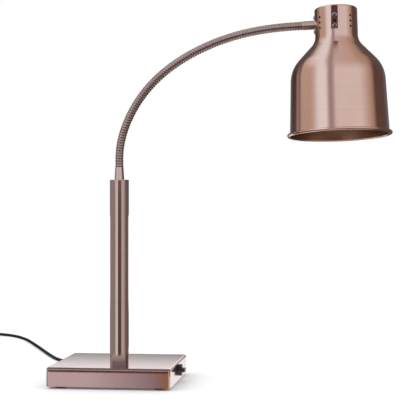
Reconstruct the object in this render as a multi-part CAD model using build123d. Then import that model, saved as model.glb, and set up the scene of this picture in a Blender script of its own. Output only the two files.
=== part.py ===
from build123d import *
import os
from math import cos, hypot, pi, radians, sin, sqrt, tan

# A free-standing food heat lamp: a weighted box base, a fixed post, a ribbed
# gooseneck that arches over, and a spun shade with a reflector bulb.
# Millimetres and degrees. Z is up, X points along the arm, and the origin is
# the centre of the base at the level of the feet.

# Fits between pieces
CLEAR = 0.1
RUN_CLEAR = 0.05
SOFT_CLEAR = 0.3

# Base
BASE_WIDTH = 240.0
BASE_DEPTH = 240.0
SHELL_HEIGHT = 36.5
SHEET = 1.5
BASE_CORNER = 7.0
TOP_FOLD = 4.0
FOOT_SHOW = 4.5
FOOT_RADIUS = 10.0
FOOT_INSET = 24.0
FOOT_RECESS = 2.2
FOOT_RECESS_RADIUS = 5.0
FLOOR_SHEET = 2.0
BALLAST_SIDE_ROOM = 28.0
BALLAST_END_ROOM = 20.0
BALLAST_THICK = 17.0
BALLAST_CORNER = 12.0
SPACER_RADIUS = 6.0
SPACER_INSET = 18.0
FLOOR_SCREW = 5.0
FLOOR_SCREW_HEAD = 10.0
FLOOR_SCREW_DOME = 3.0
FLOOR_SCREW_BITE = 12.0
FOOT_SCREW = 4.0
FOOT_SCREW_HEAD = 8.6
FOOT_SCREW_DOME = 1.8
FOOT_SCREW_BITE = 6.0
FOOT_CHAMFER = 0.8
BASE_SCREW_SLOT = 1.0
BASE_SCREW_SLOT_DEPTH = 0.9
TAP_RUNOUT = 1.0

# Post
POST_DIAMETER = 38.0
POST_WALL = 1.5
POST_TOP = 402.0
CAP_THICK = 2.5
CAP_PLUG = 12.0
FOOT_PLUG = 25.0
STUD_DIAMETER = 13.0
STUD_BORE = 9.0
STUD_NUT_FLATS = 22.0
STUD_NUT_THICK = 7.0
STUD_WASHER_THICK = 1.5
STUD_WASHER_DIAMETER = 28.0
STUD_POCKET_PLAY = 1.0
STUD_TAIL = 1.0

# Gooseneck
NECK_DIAMETER = 16.2
NECK_GROOVE = 0.8
NECK_BORE = 10.8
RIB_PITCH = 5.28
RIB_STEPS = ((0.0, 0.0), (0.22, 1.0), (0.58, 1.0), (0.8, 0.0))
NECK_STUB = 16.0
NECK_ARC = 39.7
NECK_BENDS = (13.7, 10.6, 9.2, 9.1, 8.7, 7.3, 6.0, 5.4, 5.4, 5.2, 4.3, 3.1)
HINGE_GAP = 2.2
BALL_CLEAR = 0.12
BALL_PLUG = 6.0
BORE_STEPS = 5
WIRE_HOLE = 6.0
ARM_SWING = -4.0

# Ferrules
LOWER_FERRULE_DIAMETER = 19.6
LOWER_FERRULE_LENGTH = 25.6
FERRULE_SPIGOT = 12.0
FERRULE_SPIGOT_LENGTH = 12.0
UPPER_FERRULE_DIAMETER = 17.0
UPPER_FERRULE_SHOW = 24.4
FERRULE_THREAD = 13.6
FERRULE_NUT_FLATS = 19.0
FERRULE_NUT_THICK = 3.6
FERRULE_STEP = 2.0
LEAD_BORE = 7.6

# Shade, measured from the arm's axis and along the shade's own axis
NECK_CAN_RADIUS = 41.0
CAN_TOP = 29.3
CAN_TOP_FILLET = 4.0
CAN_DROP = 35.3
CAN_FOOT_FILLET = 30.0
SHOULDER_RADIUS = 89.9
SHOULDER_DROP = 87.5
SHOULDER_FILLET = 62.0
RIM_RADIUS = 95.0
RIM_DROP = 215.5
SHADE_WALL = 1.2
BEAD_RADIUS = 3.2
BEAD_OVERHANG = 5.7
BEAD_RISE = 1.0
HEAD_ROLL = -2.4
VENT_DIAMETER = 4.0
VENT_COLUMNS = 8
VENT_DROP = 1.8
VENT_PITCH = 10.3

# Screws through the shade's can
HEAD_SCREW = 4.0
HEAD_SCREW_HEAD = 9.0
HEAD_SCREW_DOME = 2.8
HEAD_SCREW_SLOT = 1.1
HEAD_SCREW_SLOT_DEPTH = 1.2
DRILL_OVER = 4.0
SLOT_SHARE = 0.6
ARM_SCREW_SPREAD = 13.8
BRACKET_NUT_FLATS = 7.0
BRACKET_NUT_THICK = 3.2
SCREW_TAIL = 1.0

# Arm clamp
CLAMP_WIDTH = 24.0
CLAMP_HEIGHT = 40.0
CLAMP_DEPTH = 11.8
ARM_SCREW_BITE = 9.0

# Lamp holder and bulb
BRACKET_WIDTH = 18.0
BRACKET_SHEET = 2.0
BRACKET_TOP = 15.0
BRACKET_DROP = 20.0
NIPPLE_DIAMETER = 10.0
NIPPLE_BORE = 7.0
NIPPLE_ABOVE = 7.0
NIPPLE_BELOW = 9.0
NIPPLE_NUT_FLATS = 14.0
NIPPLE_NUT_THICK = 4.0
HOLDER_DIAMETER = 46.0
HOLDER_HEIGHT = 50.0
HOLDER_FILLET = 3.0
HOLDER_SOCKET = 29.4
HOLDER_SOCKET_DEPTH = 29.0
SCREW_SHELL_DIAMETER = 29.0
SCREW_SHELL_WALL = 0.6
SCREW_SHELL_INSET = 2.0
BULB_CAP_DIAMETER = 26.4
BULB_CAP_LENGTH = 25.0
BULB_CAP_CHAMFER = 3.0
BULB_CONTACT_DIAMETER = 10.0
BULB_CONTACT = 2.0
BULB_DIAMETER = 121.0
BULB_LENGTH = 108.0
BULB_NECK_DIAMETER = 34.0
BULB_NECK_LENGTH = 10.0
BULB_FUNNEL_RADIUS = 40.0
BULB_FUNNEL_DROP = 24.0
BULB_EDGE = 12.0
BULB_FACE_CROWN = 7.0
BULB_GLASS = 1.6
HEAD_LEAD = 5.0

# Power control
KNOB_FORWARD = 5.0
KNOB_Z = 25.0
KNOB_DIAMETER = 23.0
KNOB_SKIRT = 7.0
KNOB_GAP = 0.4
KNOB_EDGE = 1.2
GRIP_WIDTH = 8.0
GRIP_LENGTH = 20.0
GRIP_HEIGHT = 6.3
GRIP_CORNER = 3.4
GRIP_EDGE = 1.4
POINTER_MARGIN = 2.0
POINTER_WIDTH = 1.6
POINTER_LENGTH = 7.0
POINTER_INLAY = 0.6
KNOB_RECESS_DIAMETER = 17.6
KNOB_RECESS = 4.4
SHAFT_DIAMETER = 6.0
SHAFT_REACH = 9.5
SHAFT_ROOT = 12.0
SWITCH_SIDE = 22.0
SWITCH_DEPTH = 18.0
SWITCH_CORNER = 2.0
BUSH_DIAMETER = 9.4
BUSH_LENGTH = 4.0
PANEL_NUT_FLATS = 14.0
PANEL_NUT_THICK = 2.2

# Mains entry
GLAND_INSET = 26.0
GLAND_Z = 18.0
GLAND_THREAD = 15.0
GLAND_FLATS = 20.0
GLAND_HEAD = 5.0
GLAND_TAIL = 10.0
GLAND_NUT_THICK = 4.0
RELIEF_LENGTH = 34.0
RELIEF_ROOT = 14.0
RELIEF_TIP = 9.4
RELIEF_GROOVES = 3
RELIEF_GROOVE_FIRST = 6.0
RELIEF_GROOVE_PITCH = 8.0
RELIEF_GROOVE_WIDTH = 3.0
RELIEF_GROOVE_DIAMETER = 9.0
TERMINAL_SIZE = (30.0, 18.0, 14.0)
TERMINAL_AT = (-45.0, 40.0)
TERMINAL_EDGE = 1.5
TERMINAL_WAYS = 3
TERMINAL_HOLE = 3.4

# Leads and cord
CORD_DIAMETER = 7.0
LEAD_DIAMETER = 6.0
LEAD_LEVEL = 14.0
ARC_SHARE = 0.45
ENTRY_STRAIGHT = 22.0
ENTRY_TURNS = ((4.0, -46.0, -2.0), (14.0, -72.0, -4.0))
BLOCK_STRAIGHT = 8.0
BLOCK_ENTRY_STRAIGHT = 12.0
POST_LEAD_TURNS = ((-12.0, 24.0, 13.5), (-2.5, 6.0, 14.0), (0.0, 0.0, 23.0))
POST_LEAD_BITE = 2.0
HEAD_LEAD_ROOT = 12.0
HEAD_LEAD_STRAIGHT = 5.0
HEAD_LEAD_TURNS = ((-7.0, 0.0, 0.5), (-0.5, 0.0, -2.5), (0.0, 0.0, -10.0))
HEAD_LEAD_TAIL = 4.0
CORD_LEVEL = 3.6
CORD_DROP_ROUTE = (
    (-94.0, 175.0, 18.0),
    (-99.0, 193.0, 12.0),
    (-109.0, 211.0, 5.0),
)
CORD_FLOOR_ROUTE = (
    (-126.0, 228.0),
    (-152.0, 248.0),
    (-178.0, 271.0),
    (-201.0, 301.0),
    (-223.0, 345.0),
    (-254.0, 414.0),
    (-294.0, 506.0),
    (-336.0, 601.0),
    (-377.0, 691.0),
    (-415.0, 755.0),
    (-458.0, 805.0),
)
COIL_CENTRE = (-541.0, 783.0)
COIL_INNER = 28.0
COIL_PITCH = 7.9
COIL_TURNS = 4.25
COIL_START = 90.0
COIL_CLIMB = 0.25
COIL_TAIL = 10.0
COIL_STEPS = 4
GAP_STEPS = 60
COIL_LEAD_IN = 22.0
TIE_WIDTH = 9.0
TIE_THICK = 1.0
TIE_ANGLES = (-35.0, 135.0)
TIE_SLACK = 0.3
TIE_SIDE_SLACK = 0.9
TIE_LIFT = 0.1
TIE_CORNER = 2.0

# Plug
PLUG_RELIEF = 22.0
PLUG_RELIEF_TIP = 9.6
PLUG_RELIEF_ROOT = 14.0
PLUG_LENGTH = 30.0
PLUG_SHOULDER = 10.0
PLUG_BACK = 15.6
PLUG_WIDTH = 27.0
PLUG_HEIGHT = 24.4
PLUG_EDGE = 4.0
BLADE_SPACING = 12.7
BLADE_WIDTH = 6.3
BLADE_THICK = 1.5
BLADE_LENGTH = 17.5
BLADE_OFFSET = 5.5
EARTH_PIN = 4.8
EARTH_LENGTH = 20.5
EARTH_OFFSET = 11.9
PIN_ROOT = 8.0
PIN_CHAMFER = 0.5

# Sizes that follow from the ones above
BALLAST_WIDTH = BASE_WIDTH - 2 * BALLAST_SIDE_ROOM
BALLAST_DEPTH = BASE_DEPTH - 2 * BALLAST_END_ROOM
SPACER_X = BALLAST_WIDTH / 2 - SPACER_INSET
SPACER_Y = BALLAST_DEPTH / 2 - SPACER_INSET
GLAND_X = GLAND_INSET - BASE_WIDTH / 2
COIL_LEVEL = CORD_DIAMETER / 2 + TIE_SLACK + TIE_THICK + TIE_LIFT
SHELL_TOP = FOOT_SHOW + SHELL_HEIGHT
SHEET_UNDER = SHELL_TOP - SHEET
FLOOR_TOP = FOOT_SHOW + FLOOR_SHEET
BALLAST_UNDER = SHEET_UNDER - BALLAST_THICK
BALLAST_POCKET = STUD_WASHER_THICK + STUD_NUT_THICK + STUD_TAIL
STUD_WASHER_UNDER = BALLAST_UNDER + BALLAST_POCKET - STUD_WASHER_THICK
STUD_FOOT = BALLAST_UNDER
NECK_FOOT = POST_TOP + LOWER_FERRULE_LENGTH
NECK_RADIUS = NECK_DIAMETER / 2
GROOVE_RADIUS = NECK_RADIUS - NECK_GROOVE
BORE_RADIUS = NECK_BORE / 2
BALL_RADIUS = BORE_RADIUS - BALL_CLEAR
LINKS = len(NECK_BENDS)
NECK_LENGTH = 2 * NECK_STUB + LINKS * NECK_ARC
CAN_INNER = NECK_CAN_RADIUS - SHADE_WALL
CLAMP_INNER = CAN_INNER - CLAMP_DEPTH
CAN_FOOT = -CAN_DROP
SHOULDER_HEIGHT = -SHOULDER_DROP
RIM_HEIGHT = -RIM_DROP
BEAD_OUT = RIM_RADIUS + BEAD_OVERHANG
VENT_MIDDLE = -VENT_DROP
BRACKET_FLOOR = -BRACKET_DROP
KNOB_Y = -KNOB_FORWARD

SWING = Rotation(0, 0, ARM_SWING)

nodes = {}


def at(x, y, z):
    """A place without a turn."""
    return Location((x, y, z))


def rod(radius, low, high):
    """A round bar along Z between two heights."""
    bar = Cylinder(radius, high - low, align=(Align.CENTER, Align.CENTER, Align.MIN))
    return at(0, 0, low) * bar


def tube(outer, inner, low, high):
    """A round tube along Z between two heights."""
    return rod(outer, low, high) - rod(inner, low, high)


def cone(low_radius, high_radius, low, high):
    """A round cone along Z between two heights."""
    body = Cone(low_radius, high_radius, high - low, align=(Align.CENTER, Align.CENTER, Align.MIN))
    return at(0, 0, low) * body


def slab(width, depth, corner, low, high):
    """A rounded rectangle about the Z axis between two heights."""
    return extrude(at(0, 0, low) * RectangleRounded(width, depth, corner), high - low)


def hexagon(flats, low, high):
    """A hexagon bar along Z, given across its flats."""
    return extrude(at(0, 0, low) * RegularPolygon(flats / sqrt(3), 6), high - low)


def group(shapes):
    """Several separate solids that share one node."""
    return Compound([solid for shape in shapes for solid in shape.solids()])


def four_corners(x, y):
    """The four places at plus and minus x and y."""
    return [(sx * x, sy * y) for sx in (-1, 1) for sy in (-1, 1)]


def pan_screw(diameter, head, dome, shank, slot, slot_depth):
    """A pan head screw along Z: its head above zero, its shank below, a cross cut in the head."""
    ball = (head * head / 4 + dome * dome) / (2 * dome)
    crown = at(0, 0, dome - ball) * Sphere(ball)
    head_solid = crown & rod(head / 2, 0, dome)
    reach = head * SLOT_SHARE
    cut = Box(reach, slot, 2 * slot_depth) + Box(slot, reach, 2 * slot_depth)
    return head_solid + rod(diameter / 2, -shank, 0) - at(0, 0, dome) * cut


def route_radii(points):
    """The arc radius at each corner of a route, as large as its two runs allow."""
    radii = []
    for before, corner, after in zip(points, points[1:], points[2:]):
        arriving = Vector(*corner) - Vector(*before)
        leaving = Vector(*after) - Vector(*corner)
        turn = radians(arriving.get_angle(leaving))
        radii.append(ARC_SHARE * min(arriving.length, leaving.length) / tan(turn / 2))
    return radii


def lead(name, points, diameter):
    """A round lead along a route of straight runs joined by arcs."""
    radii = route_radii(points)
    path = FilletPolyline(*points, radius=radii)
    start = Plane(origin=path @ 0, z_dir=path % 0)
    solid = sweep(start * Circle(diameter / 2), path=path)
    area = pi * diameter * diameter / 4
    share = solid.volume / (area * path.length)
    print(name, "length", round(path.length, 1), "volume share", round(share, 4))
    print(name, "radii", [round(radius) for radius in radii])
    return solid


# Base


def make_base_shell():
    outer = slab(BASE_WIDTH, BASE_DEPTH, BASE_CORNER, FOOT_SHOW, SHELL_TOP)
    outer = fillet(outer.faces().sort_by(Axis.Z)[-1].edges(), TOP_FOLD)
    inner = slab(
        BASE_WIDTH - 2 * SHEET,
        BASE_DEPTH - 2 * SHEET,
        BASE_CORNER - SHEET,
        FOOT_SHOW - SHEET,
        SHEET_UNDER,
    )
    inner = fillet(inner.faces().sort_by(Axis.Z)[-1].edges(), TOP_FOLD - SHEET)
    shell = outer - inner
    shell -= rod(STUD_DIAMETER / 2 + CLEAR, SHEET_UNDER - SHEET, SHELL_TOP + SHEET)
    bush_hole = rod(BUSH_DIAMETER / 2 + CLEAR, -2 * SHEET, 2 * SHEET)
    shell -= at(BASE_WIDTH / 2, KNOB_Y, KNOB_Z) * Rotation(0, 90, 0) * bush_hole
    gland_hole = rod(GLAND_THREAD / 2 + CLEAR, -2 * SHEET, 2 * SHEET)
    shell -= at(GLAND_X, BASE_DEPTH / 2, GLAND_Z) * Rotation(90, 0, 0) * gland_hole
    return shell


def foot_places():
    return four_corners(BASE_WIDTH / 2 - FOOT_INSET, BASE_DEPTH / 2 - FOOT_INSET)


def make_base_floor():
    play = 2 * (SHEET + SOFT_CLEAR)
    corner = BASE_CORNER - SHEET
    plate = slab(BASE_WIDTH - play, BASE_DEPTH - play, corner, FOOT_SHOW, FLOOR_TOP)
    for x, y in four_corners(SPACER_X, SPACER_Y):
        plate -= at(x, y, 0) * rod(FLOOR_SCREW / 2 + CLEAR, FOOT_SHOW, FLOOR_TOP)
    for x, y in foot_places():
        plate -= at(x, y, 0) * rod(FOOT_SCREW / 2, FOOT_SHOW, FLOOR_TOP)
    return plate


def make_ballast():
    plate = slab(BALLAST_WIDTH, BALLAST_DEPTH, BALLAST_CORNER, BALLAST_UNDER, SHEET_UNDER)
    plate -= rod(STUD_DIAMETER / 2 + CLEAR, BALLAST_UNDER, SHEET_UNDER)
    pocket_top = BALLAST_UNDER + BALLAST_POCKET
    plate -= rod(STUD_WASHER_DIAMETER / 2 + STUD_POCKET_PLAY, BALLAST_UNDER, pocket_top)
    for x, y in four_corners(SPACER_X, SPACER_Y):
        hole_top = BALLAST_UNDER + FLOOR_SCREW_BITE + TAP_RUNOUT
        plate -= at(x, y, 0) * rod(FLOOR_SCREW / 2, BALLAST_UNDER, hole_top)
    return plate


def make_floor_spacers():
    spacer = tube(SPACER_RADIUS, FLOOR_SCREW / 2 + CLEAR, FLOOR_TOP, BALLAST_UNDER)
    return group([at(x, y, 0) * spacer for x, y in four_corners(SPACER_X, SPACER_Y)])


def make_floor_screws():
    shank = BALLAST_UNDER + FLOOR_SCREW_BITE - FOOT_SHOW
    screw = pan_screw(
        FLOOR_SCREW,
        FLOOR_SCREW_HEAD,
        FLOOR_SCREW_DOME,
        shank,
        BASE_SCREW_SLOT,
        BASE_SCREW_SLOT_DEPTH,
    )
    screw = at(0, 0, FOOT_SHOW) * Rotation(180, 0, 0) * screw
    return group([at(x, y, 0) * screw for x, y in four_corners(SPACER_X, SPACER_Y)])


def make_feet():
    foot = tube(FOOT_RADIUS, FOOT_SCREW / 2 + CLEAR, 0, FOOT_SHOW)
    foot -= rod(FOOT_RECESS_RADIUS, 0, FOOT_RECESS)
    foot = chamfer(foot.faces().sort_by(Axis.Z)[0].outer_wire().edges(), FOOT_CHAMFER)
    return group([at(x, y, 0) * foot for x, y in foot_places()])


def make_foot_screws():
    shank = FOOT_SHOW - FOOT_RECESS + FOOT_SCREW_BITE
    screw = pan_screw(
        FOOT_SCREW,
        FOOT_SCREW_HEAD,
        FOOT_SCREW_DOME,
        shank,
        BASE_SCREW_SLOT,
        BASE_SCREW_SLOT_DEPTH,
    )
    screw = at(0, 0, FOOT_RECESS) * Rotation(180, 0, 0) * screw
    return group([at(x, y, 0) * screw for x, y in foot_places()])


nodes["base_shell"] = make_base_shell()
nodes["base_floor"] = make_base_floor()
nodes["ballast_plate"] = make_ballast()
nodes["floor_spacers"] = make_floor_spacers()
nodes["floor_screws"] = make_floor_screws()
nodes["rubber_feet"] = make_feet()
nodes["foot_screws"] = make_foot_screws()


# Post

POST_BORE_RADIUS = POST_DIAMETER / 2 - POST_WALL
CAP_UNDER = POST_TOP - CAP_THICK
PLUG_RADIUS = POST_BORE_RADIUS - CLEAR


def make_foot_plug():
    """A turned plug inside the foot of the post, tapped for the stud."""
    return tube(PLUG_RADIUS, STUD_DIAMETER / 2, SHELL_TOP, SHELL_TOP + FOOT_PLUG)


def make_post_cap():
    """The flush cap of the post, with a plug below it and a seat for the ferrule's spigot."""
    cap = rod(POST_DIAMETER / 2, CAP_UNDER, POST_TOP)
    cap += rod(PLUG_RADIUS, CAP_UNDER - CAP_PLUG, CAP_UNDER)
    return cap - rod(FERRULE_SPIGOT / 2 + RUN_CLEAR, CAP_UNDER - CAP_PLUG, POST_TOP)


def make_lower_ferrule():
    body = cone(LOWER_FERRULE_DIAMETER / 2, NECK_RADIUS + CLEAR, POST_TOP, NECK_FOOT)
    body += rod(FERRULE_SPIGOT / 2, POST_TOP - FERRULE_SPIGOT_LENGTH, POST_TOP)
    return body - rod(LEAD_BORE / 2, POST_TOP - FERRULE_SPIGOT_LENGTH, NECK_FOOT)


def make_stud_washer():
    top = STUD_WASHER_UNDER + STUD_WASHER_THICK
    return tube(STUD_WASHER_DIAMETER / 2, STUD_DIAMETER / 2 + CLEAR, STUD_WASHER_UNDER, top)


def make_stud_nut():
    under = STUD_WASHER_UNDER - STUD_NUT_THICK
    nut = hexagon(STUD_NUT_FLATS, under, STUD_WASHER_UNDER)
    return nut - rod(STUD_DIAMETER / 2, under, STUD_WASHER_UNDER)


nodes["post_tube"] = tube(POST_DIAMETER / 2, POST_BORE_RADIUS, SHELL_TOP, CAP_UNDER)
nodes["post_foot_plug"] = make_foot_plug()
nodes["post_stud"] = tube(STUD_DIAMETER / 2, STUD_BORE / 2, STUD_FOOT, SHELL_TOP + FOOT_PLUG)
nodes["stud_washer"] = make_stud_washer()
nodes["stud_nut"] = make_stud_nut()
nodes["post_cap"] = make_post_cap()
nodes["lower_ferrule"] = make_lower_ferrule()


# Gooseneck. Its centre line lies in the XZ plane and is swung about Z at the end.


def bent_path():
    """The start of each arc of the neck as (x, z, direction), and the end of the last."""
    x, z, heading = 0.0, NECK_FOOT + NECK_STUB, 90.0
    stations = [(x, z, heading)]
    for bend in NECK_BENDS:
        chord = NECK_ARC * sin(radians(bend / 2)) / radians(bend / 2)
        x += chord * cos(radians(heading - bend / 2))
        z += chord * sin(radians(heading - bend / 2))
        heading -= bend
        stations.append((x, z, heading))
    return stations


STATIONS = bent_path()


def along(distance):
    """The plane square to the neck at a distance from its foot, its X axis across the arm."""
    arcs = distance - NECK_STUB
    if arcs <= 0:
        x, z, heading = 0.0, NECK_FOOT + distance, 90.0
    elif arcs >= LINKS * NECK_ARC:
        x, z, heading = STATIONS[-1]
        x += (arcs - LINKS * NECK_ARC) * cos(radians(heading))
        z += (arcs - LINKS * NECK_ARC) * sin(radians(heading))
    else:
        link = int(arcs // NECK_ARC)
        x, z, heading = STATIONS[link]
        turn = NECK_BENDS[link] * (arcs / NECK_ARC - link)
        half = radians(turn / 2)
        chord = (arcs - link * NECK_ARC) * (sin(half) / half if half else 1)
        x += chord * cos(radians(heading) - half)
        z += chord * sin(radians(heading) - half)
        heading -= turn
    tangent = (cos(radians(heading)), 0, sin(radians(heading)))
    return Plane(origin=(x, 0, z), x_dir=(0, 1, 0), z_dir=tangent)


def hinge_at(hinge):
    """The distance from the neck's foot to a hinge, counted from 1."""
    return NECK_STUB + hinge * NECK_ARC


def rib_stations(low, high):
    """(distance, radius) pairs of whole ribs that fill a stretch of the neck."""
    count = round((high - low) / RIB_PITCH)
    pitch = (high - low) / count
    found = []
    for rib in range(count):
        for share, rise in RIB_STEPS:
            found.append((low + pitch * (rib + share), GROOVE_RADIUS + NECK_GROOVE * rise))
    return found + [(high, GROOVE_RADIUS)]


def skin(pairs):
    """A ruled solid through round sections at distances along the neck."""
    return loft([along(distance) * Circle(radius) for distance, radius in pairs], ruled=True)


def make_link(link):
    """One link: ribs outside, a bore inside, a socket at its near end, a ball at its far end."""
    first = link == 1
    last = link == LINKS
    low = 0 if first else hinge_at(link - 1) + HINGE_GAP / 2
    high = NECK_LENGTH if last else hinge_at(link) - HINGE_GAP / 2
    outside = skin(rib_stations(low, high))
    bore_end = high if last else high - BALL_PLUG
    stretch = (bore_end - low) / BORE_STEPS
    bore = [(low + stretch * step, BORE_RADIUS) for step in range(BORE_STEPS + 1)]
    solid = outside - skin(bore)
    if last:
        return solid
    pivot = along(hinge_at(link))
    solid += pivot * Sphere(BALL_RADIUS)
    bar = Cylinder(WIRE_HOLE / 2, 4 * BALL_PLUG)
    return solid - pivot * bar


for number in range(1, LINKS + 1):
    nodes[f"neck_link_{number:02d}"] = SWING * make_link(number)


# Head. Its own frame has X along the arm, Z up the shade, and its origin where they cross.

NECK_END = along(NECK_LENGTH)
ARM_RISE = STATIONS[-1][2]
HEAD_REACH = UPPER_FERRULE_SHOW + NECK_CAN_RADIUS
HEAD_AT = NECK_END.origin + NECK_END.z_dir * HEAD_REACH
HEAD = SWING * Location(tuple(HEAD_AT), (0, -ARM_RISE, 0)) * Rotation(HEAD_ROLL, 0, 0)
INTO_CAN = Rotation(0, 90, 0)


def inset_corner(before, corner, after, inset):
    """A corner of an outline moved to the inside by the inset, its sides staying parallel."""
    normals = []
    for start, end in ((before, corner), (corner, after)):
        dx, dz = end[0] - start[0], end[1] - start[1]
        normals.append((dz / hypot(dx, dz), -dx / hypot(dx, dz)))
    (ax, az), (bx, bz) = normals
    share = inset / (1 + ax * bx + az * bz)
    return corner[0] + share * (ax + bx), corner[1] + share * (az + bz)


def shade_form(inset):
    """The shade as a solid of revolution, drawn in by an inset from its outside."""
    outline = (
        (0.0, CAN_TOP),
        (NECK_CAN_RADIUS, CAN_TOP),
        (NECK_CAN_RADIUS, CAN_FOOT),
        (SHOULDER_RADIUS, SHOULDER_HEIGHT),
        (RIM_RADIUS, RIM_HEIGHT),
    )
    corners = [inset_corner(*outline[k : k + 3], inset) for k in range(3)]
    points = [(0.0, CAN_TOP - inset), *corners, (RIM_RADIUS - inset, RIM_HEIGHT)]
    radii = [CAN_TOP_FILLET - inset, CAN_FOOT_FILLET + inset, SHOULDER_FILLET - inset]
    placed = [(r, 0, z) for r, z in points]
    side = FilletPolyline(*placed, radius=radii)
    foot = (0, 0, RIM_HEIGHT)
    closing = Polyline(placed[-1], foot, placed[0])
    return revolve(make_face(side.edges() + closing.edges()), axis=Axis.Z)


def can_hole(diameter, angle, height):
    """A drill through one side of the can, at an angle about the shade's axis."""
    drill = rod(diameter / 2, CAN_INNER - DRILL_OVER, NECK_CAN_RADIUS + DRILL_OVER)
    return Rotation(0, 0, angle) * at(0, 0, height) * INTO_CAN * drill


ARM_SIDE = 180
BRACKET_SIDES = (-90, 90)
VENT_ROWS = (VENT_MIDDLE - VENT_PITCH, VENT_MIDDLE, VENT_MIDDLE + VENT_PITCH)


def make_shade():
    shade = shade_form(0) - shade_form(SHADE_WALL)
    bead_centre = BEAD_OUT - BEAD_RADIUS
    bead = at(0, 0, RIM_HEIGHT + BEAD_RISE) * Torus(bead_centre, BEAD_RADIUS)
    bead_low = RIM_HEIGHT - 2 * BEAD_RADIUS
    bead_high = RIM_HEIGHT + BEAD_RISE + 2 * BEAD_RADIUS
    shade += bead - rod(RIM_RADIUS - SHADE_WALL, bead_low, bead_high)
    for column in range(VENT_COLUMNS):
        angle = column * 360 / VENT_COLUMNS - 90
        if angle == ARM_SIDE:
            continue
        for height in VENT_ROWS:
            screwed = angle in BRACKET_SIDES and height != VENT_MIDDLE
            size = HEAD_SCREW + 2 * CLEAR if screwed else VENT_DIAMETER
            shade -= can_hole(size, angle, height)
    shade -= can_hole(UPPER_FERRULE_DIAMETER + 2 * CLEAR, ARM_SIDE, 0)
    for side in (-1, 1):
        shade -= can_hole(HEAD_SCREW + 2 * CLEAR, ARM_SIDE, side * ARM_SCREW_SPREAD)
    return shade


def make_upper_ferrule():
    """The tube end that carries the shade: plain outside the can, threaded inside the clamp."""
    wall = -HEAD_REACH
    step = -CLAMP_INNER - FERRULE_STEP
    body = rod(UPPER_FERRULE_DIAMETER / 2, wall, step)
    body += rod(FERRULE_THREAD / 2, step, -CLAMP_INNER + FERRULE_NUT_THICK)
    body -= rod(LEAD_BORE / 2, wall, -CLAMP_INNER + FERRULE_NUT_THICK)
    return INTO_CAN * body


def make_arm_clamp():
    """The block inside the can that the ferrule and its two screws are fastened to."""
    depth = CLAMP_DEPTH
    block = Box(depth, CLAMP_WIDTH, CLAMP_HEIGHT)
    block = at(-CLAMP_INNER - depth / 2, 0, 0) * block
    block &= rod(CAN_INNER - CLEAR, -CLAMP_HEIGHT, CLAMP_HEIGHT)
    step = -CLAMP_INNER - FERRULE_STEP
    bore = rod(UPPER_FERRULE_DIAMETER / 2 + CLEAR, -NECK_CAN_RADIUS, step)
    bore += rod(FERRULE_THREAD / 2 + CLEAR, -NECK_CAN_RADIUS, 0)
    block -= INTO_CAN * bore
    for side in (-1, 1):
        hole = rod(HEAD_SCREW / 2, -NECK_CAN_RADIUS, 0)
        block -= at(0, 0, side * ARM_SCREW_SPREAD) * INTO_CAN * hole
    return block


def make_ferrule_nut():
    high = -CLAMP_INNER + FERRULE_NUT_THICK
    nut = hexagon(FERRULE_NUT_FLATS, -CLAMP_INNER, high)
    return INTO_CAN * (nut - rod(FERRULE_THREAD / 2, -CLAMP_INNER, high))


def can_screw(shank):
    """A pan head screw against the can's outside, its head pointing away from the shade's axis."""
    screw = pan_screw(
        HEAD_SCREW,
        HEAD_SCREW_HEAD,
        HEAD_SCREW_DOME,
        shank,
        HEAD_SCREW_SLOT,
        HEAD_SCREW_SLOT_DEPTH,
    )
    return at(NECK_CAN_RADIUS + CLEAR, 0, 0) * INTO_CAN * screw


def make_arm_screws():
    screw = Rotation(0, 0, ARM_SIDE) * can_screw(SHADE_WALL + ARM_SCREW_BITE)
    return group([at(0, 0, side * ARM_SCREW_SPREAD) * screw for side in (-1, 1)])


BRACKET_FACE = sqrt(CAN_INNER * CAN_INNER - BRACKET_WIDTH * BRACKET_WIDTH / 4) - CLEAR
BRACKET_INNER = BRACKET_FACE - BRACKET_SHEET


def make_holder_bracket():
    """A strap across the can: two screwed legs and a floor that the lamp holder hangs from."""
    span = 2 * BRACKET_FACE
    height = BRACKET_TOP - BRACKET_FLOOR
    middle = (BRACKET_TOP + BRACKET_FLOOR) / 2
    strap = at(0, 0, middle) * Box(BRACKET_WIDTH, span, height)
    hollow = Box(BRACKET_WIDTH, 2 * BRACKET_INNER, height)
    strap -= at(0, 0, middle + BRACKET_SHEET) * hollow
    for angle in BRACKET_SIDES:
        for height in VENT_ROWS:
            size = VENT_DIAMETER if height == VENT_MIDDLE else HEAD_SCREW + 2 * CLEAR
            drill = rod(size / 2, BRACKET_INNER - DRILL_OVER, BRACKET_FACE + DRILL_OVER)
            strap -= Rotation(0, 0, angle) * at(0, 0, height) * INTO_CAN * drill
    strap -= rod(NIPPLE_DIAMETER / 2 + CLEAR, BRACKET_FLOOR, BRACKET_FLOOR + BRACKET_SHEET)
    return strap


def around_bracket(piece):
    """A screw or nut repeated at the four holes of the bracket's legs."""
    copies = []
    for angle in BRACKET_SIDES:
        for height in (VENT_MIDDLE - VENT_PITCH, VENT_MIDDLE + VENT_PITCH):
            copies.append(Rotation(0, 0, angle) * at(0, 0, height) * piece)
    return group(copies)


def make_bracket_screws():
    shank = NECK_CAN_RADIUS - BRACKET_INNER + BRACKET_NUT_THICK + SCREW_TAIL
    return around_bracket(can_screw(shank))


def make_bracket_nuts():
    nut = hexagon(BRACKET_NUT_FLATS, BRACKET_INNER - BRACKET_NUT_THICK, BRACKET_INNER)
    nut -= rod(HEAD_SCREW / 2, BRACKET_INNER - BRACKET_NUT_THICK, BRACKET_INNER)
    return around_bracket(INTO_CAN * nut)


HOLDER_TOP = BRACKET_FLOOR
HOLDER_FOOT = HOLDER_TOP - HOLDER_HEIGHT
STRAP_TOP = BRACKET_FLOOR + BRACKET_SHEET


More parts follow.
